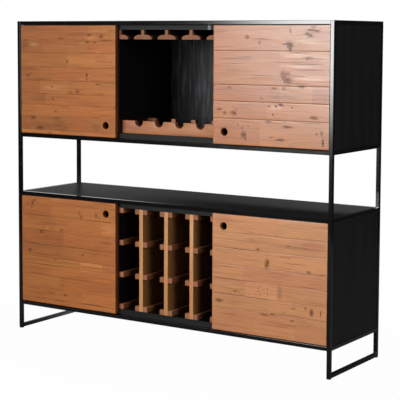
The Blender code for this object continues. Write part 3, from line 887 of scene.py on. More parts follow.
def dress(piece: bpy.types.Object, material: bpy.types.Material, crease: float = 32.0) -> None:
    """Give a piece its material, and smooth shading between its creases."""
    mesh = piece.data
    mesh.name = piece.name
    mesh.materials.clear()
    mesh.materials.append(material)
    mesh.polygons.foreach_set("material_index", np.zeros(len(mesh.polygons), np.int32))
    mesh.polygons.foreach_set("use_smooth", np.ones(len(mesh.polygons), bool))
    mesh.set_sharp_from_angle(angle=np.radians(crease))
    mesh.update()


def middles(mesh: bpy.types.Mesh) -> np.ndarray:
    """Return the middle of each face."""
    found = np.empty(len(mesh.polygons) * 3, np.float32)
    mesh.polygons.foreach_get("center", found)
    return found.reshape(-1, 3)


# Wooden fittings of the middle bays


@dataclass
class Joinery:
    """Makes sticks of pine: carries their outlines, eases their edges and gives each its own wood.

    End share is how much its ends are eased, as a share of its edges. Pith aside and pith below are how far
    from a stick's middle its pith may lie, and spread is the range of its tone.
    """

    material: bpy.types.Material
    grain: Grain
    body: str = "cabinet"
    slot: str = "rack_wood"
    seed: int = 5
    edge: float = 0.9 * MM
    end_share: float = 0.6
    pith_aside: tuple[float, float] = (0.02, 0.06)
    pith_below: tuple[float, float] = (0.03, 0.09)
    spread: tuple[float, float] = (0.88, 1.10)
    pieces: list[bpy.types.Object] = field(default_factory=list)

    def __post_init__(self) -> None:
        """Start the random choice of wood."""
        self.chance = np.random.default_rng(self.seed)

    def stick(
        self,
        name: str,
        outline: np.ndarray,
        ends: tuple[float, float],
        nodes: Sequence[str],
        tone: float = 1.0,
    ) -> bpy.types.Object:
        """Make one stick.

        Args:
            name: the piece's name.
            outline: its outline across the grain.
            ends: where it starts and ends along the grain.
            nodes: the nodes that it stands for.
            tone: how light its wood is, where 1 is usual.

        Returns:
            The finished piece.
        """
        path, shrink = eased_path(*ends, self.edge * self.end_share)
        piece = new_piece(name, carried(outline, path, shrink, self.grain), self.body, nodes)
        faces = len(piece.data.polygons)
        middle = (outline.min(axis=0) + outline.max(axis=0)) / 2
        aside = self.chance.uniform(*self.pith_aside) * self.chance.choice([-1, 1])
        pith = np.zeros(3)
        pith[list(self.grain.order[:2])] = middle + [aside, -self.chance.uniform(*self.pith_below)]
        stamp(piece.data, "pith", np.tile(pith, (faces, 1)))
        stamp(piece.data, "tone", np.full(faces, tone * self.chance.uniform(*self.spread)))
        dress(piece, self.material)
        self.pieces.append(piece)
        return piece

    def square(self, low: tuple[float, float], high: tuple[float, float]) -> np.ndarray:
        """Return the outline of a rectangle with eased corners."""
        corners = [(low[0], low[1]), (high[0], low[1]), (high[0], high[1]), (low[0], high[1])]
        return eased(corners, self.edge)


@dataclass
class StemwareRails:
    """Rails under the upper ceiling that hold glasses by the foot."""

    material: bpy.types.Material
    bay_half: float = 246 * MM
    seat: float = 0.3 * MM
    pitch: float = 123 * MM
    slot_width: float = 32 * MM
    stem_half: float = 7.5 * MM
    stem_height: float = 20 * MM
    head: float = 20 * MM
    lip: float = 5 * MM
    top: float = 1361.7 * MM
    ends: tuple[float, float] = (-191 * MM, 201.7 * MM)
    edge: float = 1.1 * MM
    lip_edges: tuple[float, float] = (1.3 * MM, 1.2 * MM)
    half_tone: float = 0.96

    def side(self, centre: float, half: int) -> tuple[np.ndarray, np.ndarray]:
        """Work out one side of a rail's outline.

        The top of the head is a quarter of an ellipse: across = stem + (reach - stem) cos a and
        up = lip + (head - lip) sin a, for a from 0 to 90 degrees.

        Args:
            centre: the rail's middle.
            half: 1 for the right side, -1 for the left.

        Returns:
            The corners from the middle of the underside outwards and up, and the rounding of each.
        """
        reach = (self.pitch - self.slot_width) / 2
        low = self.top - self.stem_height - self.head
        angle = np.radians(np.linspace(0, 90, 25))
        across = self.stem_half + (reach - self.stem_half) * np.cos(angle)
        up = low + self.lip + (self.head - self.lip) * np.sin(angle)
        across = np.concatenate([[reach], across, [self.stem_half]])
        corners = np.stack([centre + half * across, np.concatenate([[low], up, [self.top]])], axis=1)
        rounding = np.zeros(len(corners))
        rounding[[0, 1, -1]] = *self.lip_edges, self.edge
        return corners, rounding

    def build(self) -> list[bpy.types.Object]:
        """Build the three whole rails and the two half rails.

        Returns:
            The finished pieces.
        """
        shop = Joinery(self.material, Grain.Y, seed=11, edge=self.edge)
        for number, centre in enumerate((-self.pitch, 0.0, self.pitch), 1):
            right, right_round = self.side(centre, 1)
            left, left_round = self.side(centre, -1)
            outline = eased(np.vstack([right, left[::-1]]), np.concatenate([right_round, left_round[::-1]]))
            shop.stick(f"stemware_rail_{number}", outline, self.ends, [f"glass_rail_{number}"])
        for side, sx in (("left", -1), ("right", 1)):
            wall = sx * (self.bay_half - self.seat)
            half, rounding = self.side(sx * self.bay_half, -sx)
            low = [(wall, half[0, 1])]
            corners = np.vstack([low, half, [(wall, self.top)]])
            outline = eased(corners, np.concatenate([[self.edge], rounding, [self.edge]]))
            name = f"stemware_half_rail_{side}"
            shop.stick(name, outline, self.ends, [f"glass_rail_half_{side}"], self.half_tone)
        return shop.pieces


@dataclass
class BottleRests:
    """The two notched boards on the upper floor: one for bottle necks, one for bottle bodies.

    Each board has as many notches as there are lanes, a lane apart. Pith behind is how far behind each
    board's front its pith lies, and pith below how far that is under the boards.
    """

    material: bpy.types.Material
    half_length: float = 245.7 * MM
    base: float = 918.3 * MM
    height: float = 55 * MM
    thickness: float = 22 * MM
    lanes: int = 4
    lane: float = 105 * MM
    neck: float = 42 * MM
    neck_wall: float = 3 * MM
    bottle: float = 84 * MM
    neck_front: float = -170 * MM
    bottle_front: float = 14 * MM
    edge: float = 1.6 * MM
    face_edge: float = 1.0 * MM
    pith_behind: tuple[float, float] = (50 * MM, 70 * MM)
    pith_below: float = 40 * MM
    tones: tuple[float, float] = (1.02, 0.97)

    def outline(self, diameter: float, wall: float) -> np.ndarray:
        """Work out a rest's outline with a notch for each bottle.

        A notch is half a circle below a straight wall: across = centre + radius cos a and
        up = top - wall + radius sin a, for a from 0 to -180 degrees.

        Args:
            diameter: the notch's width.
            wall: how deep the straight part above the half circle is.

        Returns:
            The outline's points, its corners eased.
        """
        top = self.base + self.height
        centres = self.lane * ((self.lanes - 1) / 2 - np.arange(self.lanes))
        angle = np.radians(np.linspace(0, -180, 41))
        across = centres[:, None] + diameter / 2 * np.cos(angle)
        up = np.broadcast_to(top - wall + diameter / 2 * np.sin(angle), across.shape)
        rounding = np.zeros(across.shape)
        if wall:
            rim = centres[:, None] + diameter / 2 * np.array([1, -1])
            across = np.hstack([rim[:, :1], across, rim[:, 1:]])
            level = np.full((self.lanes, 1), top)
            up = np.hstack([level, up, level])
            rounding = np.zeros(across.shape)
        rounding[:, [0, -1]] = self.edge
        notches = np.stack([across.ravel(), up.ravel()], axis=1)
        span = self.half_length
        corners = np.vstack([[(span, self.base), (span, top)], notches, [(-span, top), (-span, self.base)]])
        outer = [self.edge, self.edge]
        return eased(corners, np.concatenate([outer, rounding.ravel(), outer]))

    def build(self) -> list[bpy.types.Object]:
        """Build both rests, whose outline is carried through their thickness.

        Returns:
            The finished pieces.
        """
        built = []
        necks, bottles = self.outline(self.neck, self.neck_wall), self.outline(self.bottle, 0.0)
        plans = (
            ("neck_rest_board", "bottle_neck_rest", necks, self.neck_front),
            ("body_rest_board", "bottle_body_rest", bottles, self.bottle_front),
        )
        for number, (name, node, outline, front) in enumerate(plans):
            path, shrink = eased_path(front, front + self.thickness, self.face_edge)
            piece = new_piece(name, carried(outline, path, shrink, Grain.Y), "cabinet", [node])
            faces = len(piece.data.polygons)
            pith = np.array([0.0, front + self.pith_behind[number], self.base - self.pith_below])
            stamp(piece.data, "pith", np.tile(pith, (faces, 1)))
            stamp(piece.data, "tone", np.full(faces, self.tones[number]))
            dress(piece, self.material)
            built.append(piece)
        return built


@dataclass
class BottleRack:
    """The lower bay's rack: upright boards with square cleats on both faces and on the partitions."""

    upright_material: bpy.types.Material
    cleat_material: bpy.types.Material
    pitch: float = 130 * MM
    board: float = 19 * MM
    cleat: float = 22 * MM
    base: float = 150.3 * MM
    top: float = 593.7 * MM
    rows: int = 4
    bay_half: float = 246 * MM
    seat: float = 0.3 * MM
    ends: tuple[float, float] = (-191 * MM, 201.7 * MM)
    edge: float = 1.0 * MM
    upright_tone: float = 1.06
    cleat_tone: float = 0.97

    def levels(self) -> np.ndarray:
        """Return the underside of each row of cleats."""
        return np.linspace(self.base, self.top - self.cleat, self.rows)

    def build(self) -> list[bpy.types.Object]:
        """Build the uprights, their cleats and the cleats on the partitions.

        Returns:
            The finished pieces.
        """
        uprights = Joinery(self.upright_material, Grain.Z, seed=23, edge=self.edge)
        cleats = Joinery(self.cleat_material, Grain.Y, seed=37, edge=self.edge)
        for number, centre in enumerate((-self.pitch, 0.0, self.pitch), 1):
            node = [f"rack_board_{number}"]
            left, right = centre - self.board / 2, centre + self.board / 2
            outline = uprights.square((left, self.ends[0]), (right, self.ends[1]))
            ends = (self.base, self.top)
            uprights.stick(f"rack_upright_{number}", outline, ends, node, self.upright_tone)
            for side, sx in (("left", -1), ("right", 1)):
                inner = centre + sx * self.board / 2
                self.column(cleats, f"rack_cleat_{number}_{side}", inner, sx, [node] * self.rows)
        for side, sx in (("left", -1), ("right", 1)):
            wall = sx * (self.bay_half - self.seat)
            nodes = [[f"wall_cleat_{side}_{row}"] for row in range(1, self.rows + 1)]
            self.column(cleats, f"partition_cleat_{side}", wall, -sx, nodes)
        return uprights.pieces + cleats.pieces

    def column(
        self, shop: Joinery, name: str, inner: float, sx: int, nodes: Sequence[Sequence[str]]
    ) -> None:
        """Make one column of cleats on a board's face.

        Args:
            shop: makes the cleats.
            name: the start of their names.
            inner: the face that they are fixed to.
            sx: 1 where they stand out to the right of it, -1 to the left.
            nodes: the nodes that each stands for.
        """
        low, high = sorted((inner, inner + sx * self.cleat))
        for row, (level, node) in enumerate(zip(self.levels(), nodes), 1):
            outline = shop.square((low, float(level)), (high, float(level) + self.cleat))
            shop.stick(f"{name}_{row}", outline, self.ends, node, self.cleat_tone)


# Doors


@dataclass(frozen=True)
class Shades:
    """The colours of a door's wood: the soft and the hard part of its rings, and its fine lines."""

    early: Rgb
    red: Rgb
    late: Rgb
    fibre: Rgb


AMBER = Shades((190, 118, 58), (186, 110, 54), (146, 80, 40), (132, 70, 34))
# Paler and greyer than amber: the same wood with painted sheen in its colour.
HONEY_WITH_PAINTED_SHEEN = Shades((222, 153, 98), (218, 144, 94), (180, 111, 68), (166, 99, 60))


@dataclass
class PlankDoor:
    """A door of glued-up old planks, with its finger hole, its pivot bores and its catch's bore.

    Widths are the planks' heights from the top down, in proportion. Staves are the places of the butt
    joints in each plank, in millimetres, and tones how light each stretch between them is. Fade is painted
    light along the door: how light the door is at its left and its right end. Coat, solid and crazed go to
    the finish. The hole's profile gives, in millimetres, how much narrower than its rim it is at each depth
    behind the front.
    Most lag is how many millimetres a plank lies back at most. The piths of its stretches lie within pith
    depth behind the front, in metres, and within pith reach of its middle, as a share of its height.
    A plank's outline has a point every fineness in its front zone and one in thinning farther back. A
    drill starts at the overshoot outside the door's edge.
    """

    box: str
    side: str
    widths: tuple[float, ...]
    staves: tuple[tuple[float, ...], ...]
    tones: tuple[tuple[float, ...], ...]
    marks: tuple[Mark, ...]
    seed: int
    coat: float
    solid: float
    crazed: float
    shades: Shades = AMBER
    free: float = 250 * MM
    hinge: float = 781 * MM
    front: float = -215 * MM
    thickness: float = 22 * MM
    height: float = 482 * MM
    upper_low: float = 899 * MM
    lower_low: float = 131 * MM
    edge: float = 0.5 * MM
    back_edge: float = 0.4 * MM
    end_edge: float = 0.25 * MM
    seam: float = 0.04 * MM
    cup: float = 0.16 * MM
    waves: float = 0.05 * MM
    knot_dip: float = 0.28 * MM
    nail_dip: float = 0.5 * MM
    most_lag: float = 0.22
    most_stretches: int = 6
    pith_depth: tuple[float, float] = (0.018, 0.075)
    pith_reach: float = 0.6
    dirt: float = 0.45
    dirt_reach: float = 0.06 * MM
    dirt_depth: float = 0.5 * MM
    contrast: float = 1.5
    fade: tuple[float, float] = (1.0, 1.0)
    hole_radius: float = 16 * MM
    hole_in: float = 53 * MM
    hole_up: float = 50 * MM
    hole_points: int = 72
    hole_ease: float = 1.4 * MM
    hole_profile: tuple[tuple[float, float], ...] = (
        (-6.0, 0.0), (-0.05, 0.0), (0.35, 0.75), (0.8, 1.15), (1.5, 1.4), (20.8, 1.4), (21.6, 1.1),
        (22.05, 0.4), (28.0, 0.4),
    )
    pivot: tuple[float, float] = (775 * MM, -209.5 * MM)
    pivot_bore: tuple[float, float] = (2.3 * MM, 12.3 * MM)
    pivot_points: int = 24
    catch: tuple[float, float] = (275 * MM, -204 * MM)
    catch_bore: tuple[float, float] = (4.3 * MM, 16.3 * MM)
    catch_points: int = 40
    overshoot: float = 2 * MM
    fineness: float = 4 * MM
    front_zone: float = 2 * MM
    thinning: int = 3

    @property
    def sx(self) -> int:
        """-1 for a left door, 1 for a right one."""
        return -1 if self.side == "left" else 1

    @property
    def low(self) -> float:
        """The door's lower edge."""
        return self.upper_low if self.box == "upper" else self.lower_low

    @property
    def ends(self) -> tuple[float, float]:
        """Where the planks start and end."""
        first, last = sorted((self.sx * self.free, self.sx * self.hinge))
        return first, last

    def levels(self) -> np.ndarray:
        """Return the joints between planks from the top down, both edges of the door among them."""
        share = np.concatenate([[0], np.cumsum(self.widths)]) / sum(self.widths)
        return self.low + self.height * (1 - share)

    def hollow(self, x: np.ndarray, z: np.ndarray, low: float, high: float, lag: float) -> np.ndarray:
        """Work out how far the front of a plank lies behind the door's front plane.

        The plank cups by cup * (2 (z - middle) / width)^2, waves by waves * (1 + sin(23 x + 90 low)
        cos(9 x - 50 high)) / 2, lies back by its own lag, and dips by dip * exp(-d^2) at a knot or a nail
        hole, where d is the nearness to it.

        Args:
            x: places along the plank.
            z: heights.
            low: the plank's lower joint.
            high: its upper joint.
            lag: how far it lies back as a whole.

        Returns:
            The depth at each point.
        """
        cup = self.cup * (2 * (z - (low + high) / 2) / (high - low)) ** 2
        waves = self.waves * (1 + np.sin(x * 23 + low * 90) * np.cos(x * 9 - high * 50)) / 2
        depth = cup + waves + lag
        for mark in self.marks:
            if mark.flaw.is_knot or mark.flaw is Flaw.NAIL:
                dip = self.knot_dip if mark.flaw.is_knot else self.nail_dip
                depth = depth + dip * np.exp(-mark.nearness(x, z) ** 2)
        return depth

    def plank(self, low: float, high: float, stations: Sequence[float], lag: float) -> Shell:
        """Carry a plank's outline along the door and shape its front.

        The front's hollow h fades out towards the back: y + h * ((back - y) / thickness)^4.

        Args:
            low: the lower joint.
            high: the upper joint.
            stations: places along the plank that get a row of points.
            lag: how far it lies back.

        Returns:
            The closed surface.
        """
        low, high = low + self.seam, high - self.seam
        back = self.front + self.thickness
        corners = [(self.front, low), (back, low), (back, high), (self.front, high)]
        outline = eased(corners, [self.edge, self.back_edge, self.back_edge, self.edge])
        around = filled(outline, self.fineness)
        at_front = around[:, 0] <= self.front + self.front_zone
        kept = np.arange(len(around)) % self.thinning == 0
        keep = at_front | kept | np.isin(around, outline).all(axis=1)
        path, shrink = eased_path(*self.ends, self.end_edge, stations)
        shell = carried(around[keep], path, shrink, Grain.X)
        x, y, z = shell.points.T
        weight = np.clip((back - y) / self.thickness, 0, 1) ** 4
        shell.points[:, 1] = y + weight * self.hollow(x, z, low, high, lag)
        return shell

    def bores(self, number: int) -> Shell | None:
        """Collect what is drilled out of one plank.

        Args:
            number: the plank, counted from 0 at the top.

        Returns:
            The surface of everything that is cut out, or nothing.
        """
        levels = self.levels()
        top, bottom = levels[number], levels[number + 1]
        last = len(levels) - 2
        upper = self.box == "upper"
        tools: list[Shell] = []
        hole = self.sx * (self.free + self.hole_in)
        level = self.low + self.hole_up if upper else self.low + self.height - self.hole_up
        if bottom - self.hole_radius < level < top + self.hole_radius:
            rim = round_hole((hole, level), self.hole_radius + self.hole_ease, self.hole_points)
            depth, less = np.array(self.hole_profile).T * MM
            tools.append(carried(rim, self.front + depth, less, Grain.Y))
        for at_edge, inwards in ((number == last, 1), (number == 0, -1)):
            if at_edge:
                edge = bottom if inwards == 1 else top
                tools.append(self.bore(self.pivot, self.pivot_bore, edge, inwards, self.pivot_points))
                if (inwards == -1) == upper:
                    tools.append(self.bore(self.catch, self.catch_bore, edge, inwards, self.catch_points))
        merged = None
        for tool in tools:
            merged = tool if merged is None else merged.joined(tool)
        return merged

    def bore(
        self, at: tuple[float, float], size: tuple[float, float], edge: float, inwards: int, points: int
    ) -> Shell:
        """Drill into the door's upper or lower edge.

        Args:
            at: the bore's distance from the middle of the cabinet, and its depth in the door.
            size: its radius and how deep it goes.
            edge: the height of the door's edge.
            inwards: 1 from the lower edge up, -1 from the upper edge down.
            points: how many points its circle has.

        Returns:
            The drill's cylinder.
        """
        radius, depth = size
        path = np.sort([edge - inwards * self.overshoot, edge + inwards * depth])
        circle = round_hole((self.sx * at[0], at[1]), radius, points)
        return carried(circle, path, np.zeros(2), Grain.Z)

    def wear(self, where: np.ndarray, low: float, high: float) -> np.ndarray:
        """Work out how dark a plank's faces are: painted light along the door, and dirt in its joints.

        Args:
            where: the middles of the faces.
            low: the plank's lower joint.
            high: its upper joint.

        Returns:
            A factor for the colour of each face.
        """
        # Painted light: the door is lighter or darker towards its ends.
        fade = np.interp(where[:, 0], self.ends, self.fade)
        to_joint = np.minimum(where[:, 2] - low, high - where[:, 2])
        dirty = to_joint < self.edge + self.dirt_reach
        dirty &= where[:, 1] < self.front + self.edge + self.dirt_depth
        return fade * np.where(dirty, self.dirt, 1.0)

    def finish(self) -> bpy.types.Material:
        """Make the door's own material, which knows its marks."""
        return ReclaimedPine(
            f"reclaimed_pine_{self.box}_{self.side}", Grain.X,
            early=self.shades.early, red=self.shades.red, late=self.shades.late, fibre=self.shades.fibre,
            end=(104, 58, 34), ring=4.2 * MM, wander=22 * MM, roughness=0.45, gloss=0.3, sharp=3.5,
            hair=0.6, marks=self.marks, coat=self.coat, solid=self.solid, crazed=self.crazed,
        ).material()

    def build(self) -> list[bpy.types.Object]:
        """Build the door plank by plank.

        Returns:
            The finished planks.
        """
        built = []
        material = self.finish()
        levels = self.levels()
        chance = np.random.default_rng(self.seed)
        for number, (joints, tones) in enumerate(zip(self.staves, self.tones)):
            high, low = float(levels[number]), float(levels[number + 1])
            even = np.arange(self.ends[0], self.ends[1], self.fineness)
            stations = np.unique(np.round(np.concatenate([even, np.array(joints) * MM]), 5))
            name = f"plank_{self.box}_{self.side}_{number + 1}"
            shell = self.plank(low, high, stations, float(chance.uniform(0.0, self.most_lag)) * MM)
            node = f"door_{self.box}_{self.side}"
            piece = new_piece(name, shell, node, [node])
            tool = self.bores(number)
            if tool is not None:
                cut_out(piece, tool)
            where = middles(piece.data)
            stretch = np.searchsorted(np.sort(joints) * MM, where[:, 0])
            stamp(piece.data, "pith", self.piths(low, high, chance)[stretch])
            tone = 1 + self.contrast * (np.asarray(tones)[np.minimum(stretch, len(tones) - 1)] - 1)
            # The tone holds each stretch's random tone, the dirt in the joints and the painted light along
            # the door.
            stamp(piece.data, "tone", tone * self.wear(where, low, high))
            dress(piece, material)
            built.append(piece)
        return built

    def piths(self, low: float, high: float, chance: np.random.Generator) -> np.ndarray:
        """Choose where the pith of each stretch of a plank lies.

        Args:
            low: the plank's lower joint.
            high: its upper joint.
            chance: the door's random choices.

        Returns:
            A point for each stretch that a plank can have.
        """
        count = self.most_stretches
        depth = chance.uniform(*self.pith_depth, count)
        aside = chance.uniform(-self.pith_reach, self.pith_reach, count) * (high - low)
        along = chance.uniform(0, 1, count)
        return np.stack([along, self.front + depth, (low + high) / 2 + aside], axis=1)


def marks(flaw: Flaw, *rows: tuple[float, float, float, float]) -> tuple[Mark, ...]:
    """Return marks of one kind from rows of X, Z, half width and half height in millimetres."""
    return tuple(Mark(flaw, *row) for row in rows)


UPPER_LEFT_MARKS = (
    *marks(Flaw.KNOT, (-550, 1323, 12, 3), (-325, 1333, 8, 6), (-406, 1145, 5, 4), (-602, 1111, 5, 3.5),
           (-458, 1093, 8, 6), (-497, 1085, 4, 4), (-593, 1055, 5, 3.5), (-581, 1002, 6, 3),
           (-345, 1126, 9, 2.5), (-616, 904, 5, 3), (-516, 1223, 5, 6), (-727, 1165, 6, 3)),
    *marks(Flaw.DARK, (-393, 1339, 9, 3.5), (-401, 1309, 6, 4.5), (-363, 1307, 6, 3),
           (-743, 1157, 6, 5.5), (-404, 1164, 4, 7), (-712, 970, 10, 5.5), (-672, 925, 15, 6)),
    *marks(Flaw.CHECK, (-302, 1317, 44, 2.0), (-752, 1316, 17, 2.2), (-577, 971, 30, 2.4),
           (-320, 1085, 15, 1.6), (-640, 1197, 46, 1.2), (-420, 1196, 60, 1.0), (-640, 1077, 52, 1.0),
           (-355, 981, 22, 1.4)),
    *marks(Flaw.SMEAR, (-332, 1334, 26, 6), (-670, 925, 34, 12), (-712, 970, 24, 12), (-539, 924, 34, 9),
           (-354, 939, 30, 20), (-390, 1281, 32, 4), (-560, 948, 34, 26), (-760, 1292, 30, 26),
           (-690, 1140, 90, 5), (-750, 930, 26, 10)),
    *marks(Flaw.PALE_AND_PAINTED_SHEEN, (-392, 1326, 30, 6), (-343, 1265, 22, 5), (-392, 1162, 8, 6), (-590, 1106, 74, 15),
           (-415, 1146, 30, 6), (-585, 1058, 8, 4), (-700, 1297, 34, 9)),
    *marks(Flaw.WARM, (-640, 1296, 60, 14), (-330, 1240, 30, 20)),
)
UPPER_RIGHT_MARKS = (
    *marks(Flaw.KNOT, (408, 1334, 7, 5), (466, 1312, 4, 5), (593, 1162, 16, 11), (657, 1141, 12, 5),
           (685, 1254, 16, 2.5), (578, 1132, 5, 4), (534, 1132, 9, 3), (478, 1090, 5, 3),
           (716, 1020, 13, 6), (347, 1027, 11, 6), (305, 1027, 6, 5), (585, 1000, 4, 3), (508, 998, 9, 4),
           (726, 958, 4, 3), (326, 1131, 8, 2.5), (693, 1339, 11, 6), (724, 1357, 12, 4),
           (708, 1373, 9, 3), (566, 1066, 9, 5)),
    *marks(Flaw.DARK, (603, 1300, 12, 12), (680, 1348, 8, 5), (697, 1362, 15, 4), (597, 981, 18, 3.5),
           (395, 940, 8, 8), (278, 1041, 11, 4), (749, 962, 4, 6), (682, 1247, 4, 3), (565, 929, 14, 3)),
    # Knots with painted sheen over their brown.
    *marks(Flaw.KNOT_WITH_PAINTED_SHEEN, (576, 1185, 13, 15), (597, 1191, 8, 8)),
    *marks(Flaw.CHECK, (607, 1358, 4, 12), (590, 1306, 22, 3), (607, 1284, 5, 9), (650, 1273, 60, 1.8),
           (690, 1250, 90, 1.5), (700, 1206, 74, 1.6), (600, 1235, 110, 1.0), (690, 1228, 80, 1.2),
           (640, 1153, 80, 1.4), (360, 1246, 90, 1.2), (340, 1143, 80, 1.4), (360, 1075, 90, 1.4),
           (362, 1043, 10, 2), (405, 927, 4, 10), (388, 968, 3, 10), (524, 937, 14, 2.4),
           (755, 926, 5, 18), (560, 926, 26, 2), (345, 1228, 60, 1.0), (470, 1182, 70, 1.0),
           (480, 1326, 50, 1.6), (700, 1000, 70, 1.5)),
    *marks(Flaw.NAIL, (512, 1060, 6, 2.4), (543, 1060, 6, 4), (616, 1058, 3.4, 3.4),
           (530, 1026, 2.8, 3.4), (562, 1068, 3, 2), (570, 1063, 2.4, 2.4), (368, 982, 2.4, 3),
           (417, 976, 2, 3)),
    # Pale patches, among them painted highlights of the door's sheen.
    *marks(Flaw.PALE_AND_PAINTED_SHEEN, (674, 1314, 56, 11), (596, 1199, 12, 7), (700, 1175, 84, 12), (640, 1262, 70, 8),
           (650, 1219, 110, 7), (680, 1338, 26, 5), (540, 1056, 40, 11), (574, 1161, 6, 6)),
    *marks(Flaw.WARM, (746, 1345, 32, 26), (742, 1146, 42, 8), (752, 1100, 30, 26), (300, 930, 36, 30)),
    *marks(Flaw.SMEAR, (603, 1302, 24, 16), (695, 1350, 34, 16), (657, 1141, 22, 7), (755, 935, 9, 34),
           (395, 945, 14, 22)),
)
LOWER_LEFT_MARKS = (
    *marks(Flaw.KNOT, (-743, 577, 4.5, 4), (-356, 553, 4.5, 8), (-552, 470, 6, 3.5), (-735, 367, 8, 6),
           (-585, 337, 4, 4), (-341, 541, 4, 3), (-449, 556, 3.5, 6), (-438, 540, 5, 7)),
    *marks(Flaw.DARK, (-718, 583, 6, 9), (-668, 455, 8, 5), (-432, 371, 5.5, 4), (-529, 180, 7, 4)),
    *marks(Flaw.CHECK, (-724, 566, 3, 9), (-708, 595, 8, 4), (-690, 529, 80, 1.6), (-370, 528, 90, 1.4),
           (-660, 399, 120, 1.8), (-420, 399, 140, 1.4), (-620, 307, 150, 1.4), (-612, 182, 19, 1.8),
           (-300, 528, 40, 2), (-560, 151, 60, 1.6), (-360, 155, 70, 1.4), (-655, 461, 60, 1.2)),
    *marks(Flaw.SMEAR, (-673, 152, 40, 9), (-480, 257, 200, 6), (-690, 262, 90, 7), (-546, 221, 26, 8),
           (-273, 313, 28, 6), (-660, 390, 110, 9), (-600, 497, 90, 6), (-735, 367, 16, 11),
           (-300, 437, 40, 9), (-560, 362, 50, 8)),
    *marks(Flaw.PALE_AND_PAINTED_SHEEN, (-411, 331, 38, 7), (-343, 332, 22, 6), (-633, 473, 9, 12), (-292, 495, 40, 26),
           (-650, 402, 60, 2), (-400, 300, 60, 3)),
    *marks(Flaw.WARM, (-470, 590, 160, 16), (-700, 440, 60, 14)),
)
LOWER_RIGHT_MARKS = (
    *marks(Flaw.KNOT, (283, 255, 13, 5), (626, 210, 8, 3), (499, 221, 13, 3.5), (536, 226, 9, 2),
           (478, 614, 7, 2), (606, 509, 6, 2.5), (632, 261, 8, 2.5), (687, 269, 3.5, 4),
           (510, 430, 8, 13)),
    *marks(Flaw.DARK, (468, 482, 5.5, 4.5), (507, 419, 6, 7), (699, 413, 7, 4), (362, 300, 4.5, 4),
           (714, 255, 6, 10)),
    *marks(Flaw.CHECK, (513, 436, 3, 9), (762, 409, 22, 2), (755, 255, 3, 16), (390, 476, 110, 1.5),
           (640, 440, 60, 1.4), (330, 347, 100, 1.4), (690, 405, 90, 1.0), (480, 283, 80, 1.6),
           (620, 232, 100, 1.2), (330, 202, 50, 1.2), (560, 181, 100, 1.2), (700, 352, 60, 1.2),
           (362, 303, 26, 1.0), (560, 392, 80, 1.0)),
    *marks(Flaw.NAIL, (469, 325, 2, 2), (478, 331, 1.8, 1.8), (513, 327, 2.4, 2), (459, 298, 1.8, 2.4),
           (478, 297, 1.8, 2.4), (512, 310, 1.8, 2), (513, 299, 1.8, 2), (472, 312, 1.6, 3),
           (495, 322, 1.6, 1.8)),
    *marks(Flaw.PALE_AND_PAINTED_SHEEN, (482, 315, 82, 30), (497, 153, 52, 9), (690, 345, 80, 4), (330, 490, 60, 10)),
    *marks(Flaw.SMEAR, (570, 318, 12, 36), (283, 255, 22, 10), (640, 505, 120, 8), (714, 255, 14, 16),
           (600, 190, 120, 6)),
    *marks(Flaw.WARM, (300, 590, 50, 20), (720, 515, 60, 24)),
)


@dataclass
class Doors:
    """The four doors, each laid out plank by plank."""

    def plans(self) -> list[PlankDoor]:
        """Return each door's layout.

        Returns:
            Upper left, upper right, lower left and lower right.
        """
        return [
            # Each door's fade is painted light along it.
            PlankDoor(
                "upper", "left", (69, 52, 65, 59, 59, 49, 52, 61, 18),
                ((-690, -400), (-655, -385), (-517,), (-600,), (-670, -515), (-640,), (-505,),
                 (-640, -515, -385), (-560,)),
                ((0.93, 0.97, 1.02), (0.90, 0.97, 1.06), (0.98, 1.05), (0.95, 1.03), (0.97, 1.05, 1.01),
                 (0.93, 1.05), (1.02, 1.08), (0.90, 0.87, 0.95, 0.93), (1.10, 1.06)),
                UPPER_LEFT_MARKS, seed=325, coat=0.15, solid=0.85, crazed=0.4, fade=(0.96, 1.12),
            ),
            PlankDoor(
                "upper", "right", (102, 138, 67, 71, 106),
                ((520,), (430, 560), (560, 706), (340, 500), (470,)),
                ((1.0, 0.98), (0.96, 0.98, 1.04), (0.97, 1.0, 0.95), (0.97, 0.99, 1.04), (1.0, 1.04)),
                UPPER_RIGHT_MARKS, seed=542, coat=0.9, solid=0.5, crazed=0.85, edge=0.8 * MM,
                fade=(1.26, 1.07),
            ),
            PlankDoor(
                "lower", "left", (85, 66, 64, 58, 35, 49, 57, 50, 20),
                ((-610,), (-590, -327), (-540,), (-480,), (-446, -320), (-530,), (-560,), (-440,), (-600,)),
                ((0.96, 1.0), (0.97, 1.01, 1.07), (0.93, 1.0), (0.92, 0.97), (0.96, 1.07, 0.96),
                 (1.0, 1.02), (0.95, 0.97), (0.98, 1.02), (0.98, 1.0)),
                LOWER_LEFT_MARKS, seed=302, coat=0.15, solid=0.85, crazed=0.4, fade=(0.98, 1.14),
            ),
            # This door's honey shades hold painted sheen.
            PlankDoor(
                "lower", "right", (74, 64, 68, 61, 64, 57, 96),
                ((560,), (450,), (620,), (400,), (408, 555), (600,), (451, 640)),
                ((1.03, 1.0), (1.04, 1.0), (1.01, 1.03), (1.0, 0.99), (0.97, 1.07, 0.96), (0.96, 0.97),
                 (0.97, 1.0, 0.95)),
                LOWER_RIGHT_MARKS, seed=344, coat=0.75, solid=0.8, crazed=0.5, shades=HONEY_WITH_PAINTED_SHEEN, edge=0.6 * MM,
            ),
        ]

    def build(self) -> list[bpy.types.Object]:
        """Build all four doors.

        Returns:
            The finished planks.
        """
        return [plank for door in self.plans() for plank in door.build()]


